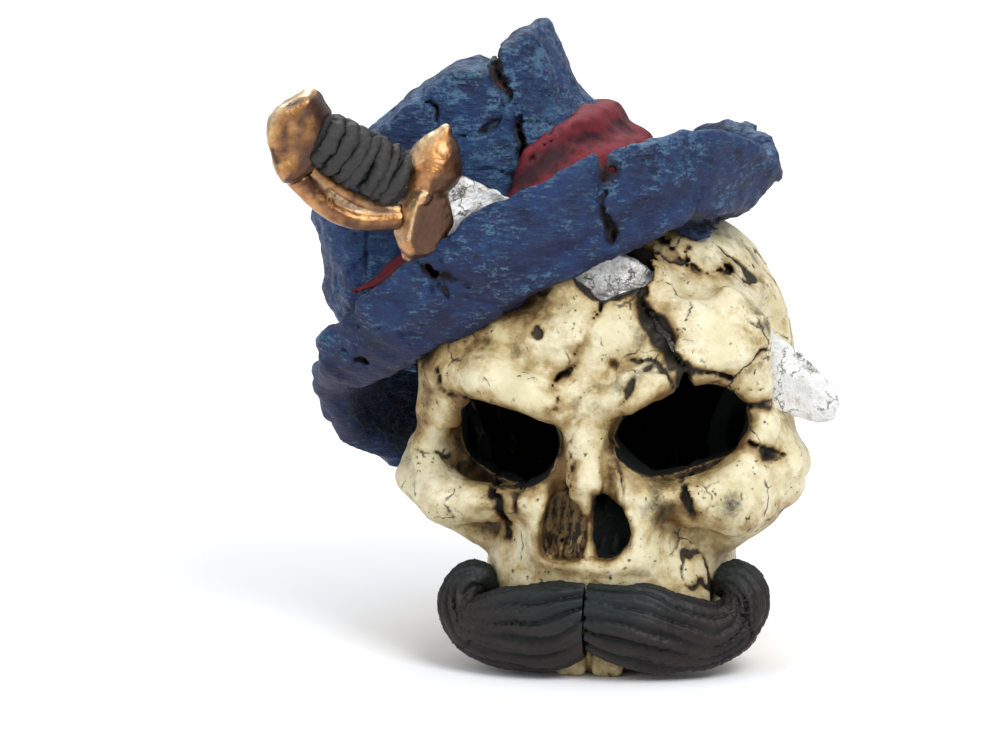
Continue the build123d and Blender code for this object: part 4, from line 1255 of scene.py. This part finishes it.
# Dark wash and painted shade in the hollows.
hollow = copper.painted("closed") + (mottle - 0.5) * 0.9
gold = copper.coats(
    copper.blend(cloud.clear(0.35, 0.65), (0.26, 0.095, 0.026), (0.58, 0.29, 0.095)),
    (wear_and_highlight.clear(0.30, 0.85) * 0.9, (1.0, 0.76, 0.45)),
    (shaded_side.clear(0.2, 0.8) * 0.9, (0.060, 0.019, 0.008)),
    (hollow.clear(0.18, 0.55) * 0.94, (0.035, 0.012, 0.008)),
)
copper_paint = copper.done(Base_Color=gold, Metallic=0.85, Roughness=0.20 + mottle * 0.22, Coat_Weight=0.5,
                           Coat_Roughness=0.12, Normal=copper.bump(mottle + fine * 0.4, 0.45, 0.9))
for name, node, shape, smooth, low, high in (
    ("guard", "sword_guard", guard_shape, guard_smooth, (-56, -56, 102), (-28, -32, 146)),
    ("knuckle_strap", "knuckle_bow", bow_shape, bow_smooth, (-86, -64, 108), (-42, -36, 142)),
    ("pommel", "sword_pommel", pommel_shape, pommel_smooth, (-88, -68, 120), (-60, -38, 158)),
):
    piece = cast(name, shape, low, high, 0.5, 0.8, 2.0)
    points, facing = surface(piece)
    paint(piece, "closed", shade(smooth, points, facing, (0.8, 2, 4)))
    paint(piece, "proud", edges(smooth, points, facing, 2.2))
    # Painted shade on faces that look right and down, painted light on faces that look up and left.
    paint(piece, "under", fade(facing[:, 0] * 0.9 - facing[:, 2] * 0.5, -0.15, 0.6))
    paint(piece, "lit", fade(facing[:, 2] * 0.7 - facing[:, 0] * 0.5, -0.1, 0.8))
    piece.data.materials.append(copper_paint)
    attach(piece, "ornament")
    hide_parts(node)


# Grip -------------------------------------------
# A round casting in the look of a leather grip bound with cord: seven turns under black paint.

def grip_core(p, far):
    s, w, n = sword_frame(p).T
    f = np.maximum(np.sqrt(w * w + (n * 1.15) ** 2) - 6.6, np.abs(s + 20.2) - 13.2)
    return f if far else f + 0.25 * grain(p, 3, 141)


core = cast("grip", grip_core, (-76, -66, 112), (-38, -36, 154), 0.6, 0.7, 2.5)


def turns_tree():
    """Turns of cord along the z axis: each is a ring, a little tilted and lumpy."""
    tree = bpy.data.node_groups.new("cord_turns", "GeometryNodeTree")
    for name, kind, value in (("Turns", "NodeSocketInt", 7), ("Pitch", "NodeSocketFloat", 3.45 * MM),
                              ("Radius", "NodeSocketFloat", 6.1 * MM), ("Cord", "NodeSocketFloat", 2.0 * MM),
                              ("Start", "NodeSocketFloat", 9.0 * MM), ("Seed", "NodeSocketInt", 4),
                              ("Finish", "NodeSocketMaterial", None)):
        socket = tree.interface.new_socket(name, in_out="INPUT", socket_type=kind)
        if value is not None:
            socket.default_value = value
    tree.interface.new_socket("Geometry", in_out="OUTPUT", socket_type="NodeSocketGeometry")
    given = tree.nodes.new("NodeGroupInput")

    def add(kind, settings=None, **values):
        made = tree.nodes.new(kind)
        for key, value in (settings or {}).items():
            setattr(made, key, value)
        for key, value in values.items():
            socket = made.inputs[key.replace("_", " ")]
            if isinstance(value, bpy.types.NodeSocket):
                tree.links.new(value, socket)
            else:
                socket.default_value = value
        return made

    def scattered(low, high, seed_at):
        made = add("FunctionNodeRandomValue", {"data_type": "FLOAT_VECTOR"}, Seed=given.outputs["Seed"],
                   ID=seed_at)
        made.inputs[0].default_value, made.inputs[1].default_value = low, high
        return made.outputs[0]

    index = add("GeometryNodeInputIndex").outputs[0]
    start = add("ShaderNodeCombineXYZ", Z=given.outputs["Start"]).outputs[0]
    step = add("ShaderNodeCombineXYZ", Z=given.outputs["Pitch"]).outputs[0]
    line = add("GeometryNodeMeshLine", Count=given.outputs["Turns"], Start_Location=start, Offset=step)
    ring = add("GeometryNodeCurvePrimitiveCircle", Resolution=96, Radius=given.outputs["Radius"])
    cord = add("GeometryNodeCurvePrimitiveCircle", Resolution=20, Radius=given.outputs["Cord"])
    swept = add("GeometryNodeCurveToMesh", Curve=ring.outputs[0], Profile_Curve=cord.outputs[0])
    placed = add("GeometryNodeInstanceOnPoints", Points=line.outputs[0], Instance=swept.outputs[0],
                 Rotation=scattered((-0.09, 0.03, 0), (0.09, 0.16, 6.28), index),
                 Scale=scattered((0.96, 0.90, 0.85), (1.06, 0.98, 1.15), index))
    real = add("GeometryNodeRealizeInstances", Geometry=placed.outputs[0])
    rough = add("ShaderNodeTexNoise", {"noise_dimensions": "3D"}, Scale=420.0, Detail=4.0)
    low = add("ShaderNodeVectorMath", {"operation": "SUBTRACT"})
    tree.links.new(rough.outputs["Color"], low.inputs[0])
    low.inputs[1].default_value = (0.5, 0.5, 0.5)
    small = add("ShaderNodeVectorMath", {"operation": "SCALE"}, Scale=2.4 * MM)
    tree.links.new(low.outputs[0], small.inputs[0])
    lumpy = add("GeometryNodeSetPosition", Geometry=real.outputs[0], Offset=small.outputs[0])
    turn = Euler(Matrix(np.stack([SWORD_UP, SWORD_OUT, -SWORD_DIR], 1).tolist()).to_euler())
    moved = add("GeometryNodeTransform", Geometry=lumpy.outputs[0], Translation=tuple(GUARD_AT * MM),
                Rotation=tuple(turn))
    smooth = add("GeometryNodeSetShadeSmooth", Geometry=moved.outputs[0])
    done = add("GeometryNodeSetMaterial", Geometry=smooth.outputs[0], Material=given.outputs["Finish"])
    tree.links.new(done.outputs[0], tree.nodes.new("NodeGroupOutput").inputs[0])
    return tree


leather = Finish("grip_paint")
at = leather.place()
mottle, fine = leather.noise(2.5, 5, 0.65, 61, at), leather.noise(0.7, 3, 0.6, 62, at)
scuffed = (1 - leather.painted("sunk") + (mottle - 0.5) * 0.9).clear(0.35, 0.85)
black = leather.blend(scuffed, (0.0025, 0.0025, 0.0028), (0.030, 0.028, 0.028))
leather_paint = leather.done(Base_Color=black, Roughness=0.45 + mottle * 0.2, Specular_IOR_Level=0.35,
                             Normal=leather.bump(mottle + fine * 0.6, 0.5, 1.0))
wrap = bpy.data.objects.new("grip_cord", bpy.data.meshes.new("grip_cord"))
bpy.context.scene.collection.objects.link(wrap)
wound = wrap.modifiers.new("cord_turns", "NODES")
wound.node_group = turns_tree()
sockets = wound.node_group.interface.items_tree
names = {socket.name: socket.identifier for socket in sockets if socket.in_out == "INPUT"}
wound[names["Finish"]] = leather_paint
bpy.context.view_layer.update()
made = wrap.evaluated_get(bpy.context.evaluated_depsgraph_get())
wrap.data = bpy.data.meshes.new_from_object(made)
wrap.modifiers.clear()
core.data.materials.append(leather_paint)
for piece in (core, wrap):
    around = sword_frame(surface(piece)[0])
    paint(piece, "sunk", fade(-np.sqrt(around[:, 1] ** 2 + (around[:, 2] * 1.08) ** 2), -7.9, -6.5))
    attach(piece, "ornament")
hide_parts("sword_grip")


# Air fittings and base --------------------------
# Moulded plastic plate, clip, stem and inlet, silicone tube, rubber grommet, steel screws and
# tang, and the porous air stone. They keep their own shapes.

def plain_finish(name, colour, rough, grain_size, depth, vary=0.25, **more):
    made = Finish(name)
    at = made.place()
    cloud, fine = made.noise(8, 3, 0.55, 71, at), made.noise(grain_size, 3, 0.55, 72, at)
    darker = tuple(c * (1 - vary) for c in colour)
    tone = made.blend((cloud * 0.6 + fine * 0.4).clear(0.35, 0.65), darker, colour)
    return made.done(Base_Color=tone, Roughness=rough + (fine - 0.5) * 0.15,
                     Normal=made.bump(fine, depth, 0.7), **more)


stone = Finish("air_stone_grit")
at = stone.place()
grit = stone.node("ShaderNodeTexVoronoi", {"feature": "F1"}, {"Vector": at, "Scale": 1300.0}, "Distance")
cloud, fine = stone.noise(4, 4, 0.6, 81, at), stone.noise(0.5, 3, 0.6, 82, at)
tone = stone.blend((grit * 0.7 + cloud * 0.5).clear(0.35, 0.75), (0.12, 0.26, 0.46), (0.045, 0.10, 0.22))
stone_grit = stone.done(Base_Color=tone, Roughness=0.9, Normal=stone.bump(grit * -1 + fine, 0.4, 1.0))

carried = {
    "base_plate": plain_finish("plate_plastic", (0.045, 0.045, 0.05), 0.5, 0.5, 0.05),
    "stone_clip": plain_finish("clip_plastic", (0.62, 0.64, 0.63), 0.4, 0.5, 0.04, 0.1),
    "inlet_grommet": plain_finish("grommet_rubber", (0.03, 0.03, 0.03), 0.6, 0.4, 0.05),
    "air_stone": stone_grit,
}
barb = plain_finish("barb_plastic", (0.72, 0.75, 0.74), 0.3, 0.5, 0.03, 0.1)
tube = plain_finish("tube_silicone", (0.55, 0.60, 0.60), 0.3, 0.6, 0.03, 0.12)
steel = plain_finish("screw_steel", (0.55, 0.55, 0.56), 0.3, 0.3, 0.03, 0.15, Metallic=1.0)
carried.update({"stone_stem": barb, "air_inlet": barb, "inner_airline": tube})
carried.update({"base_screws": steel, "clip_screws": steel, "sword_tang": steel})
for node, material in carried.items():
    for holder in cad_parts[node].material_slots:
        holder.material = material
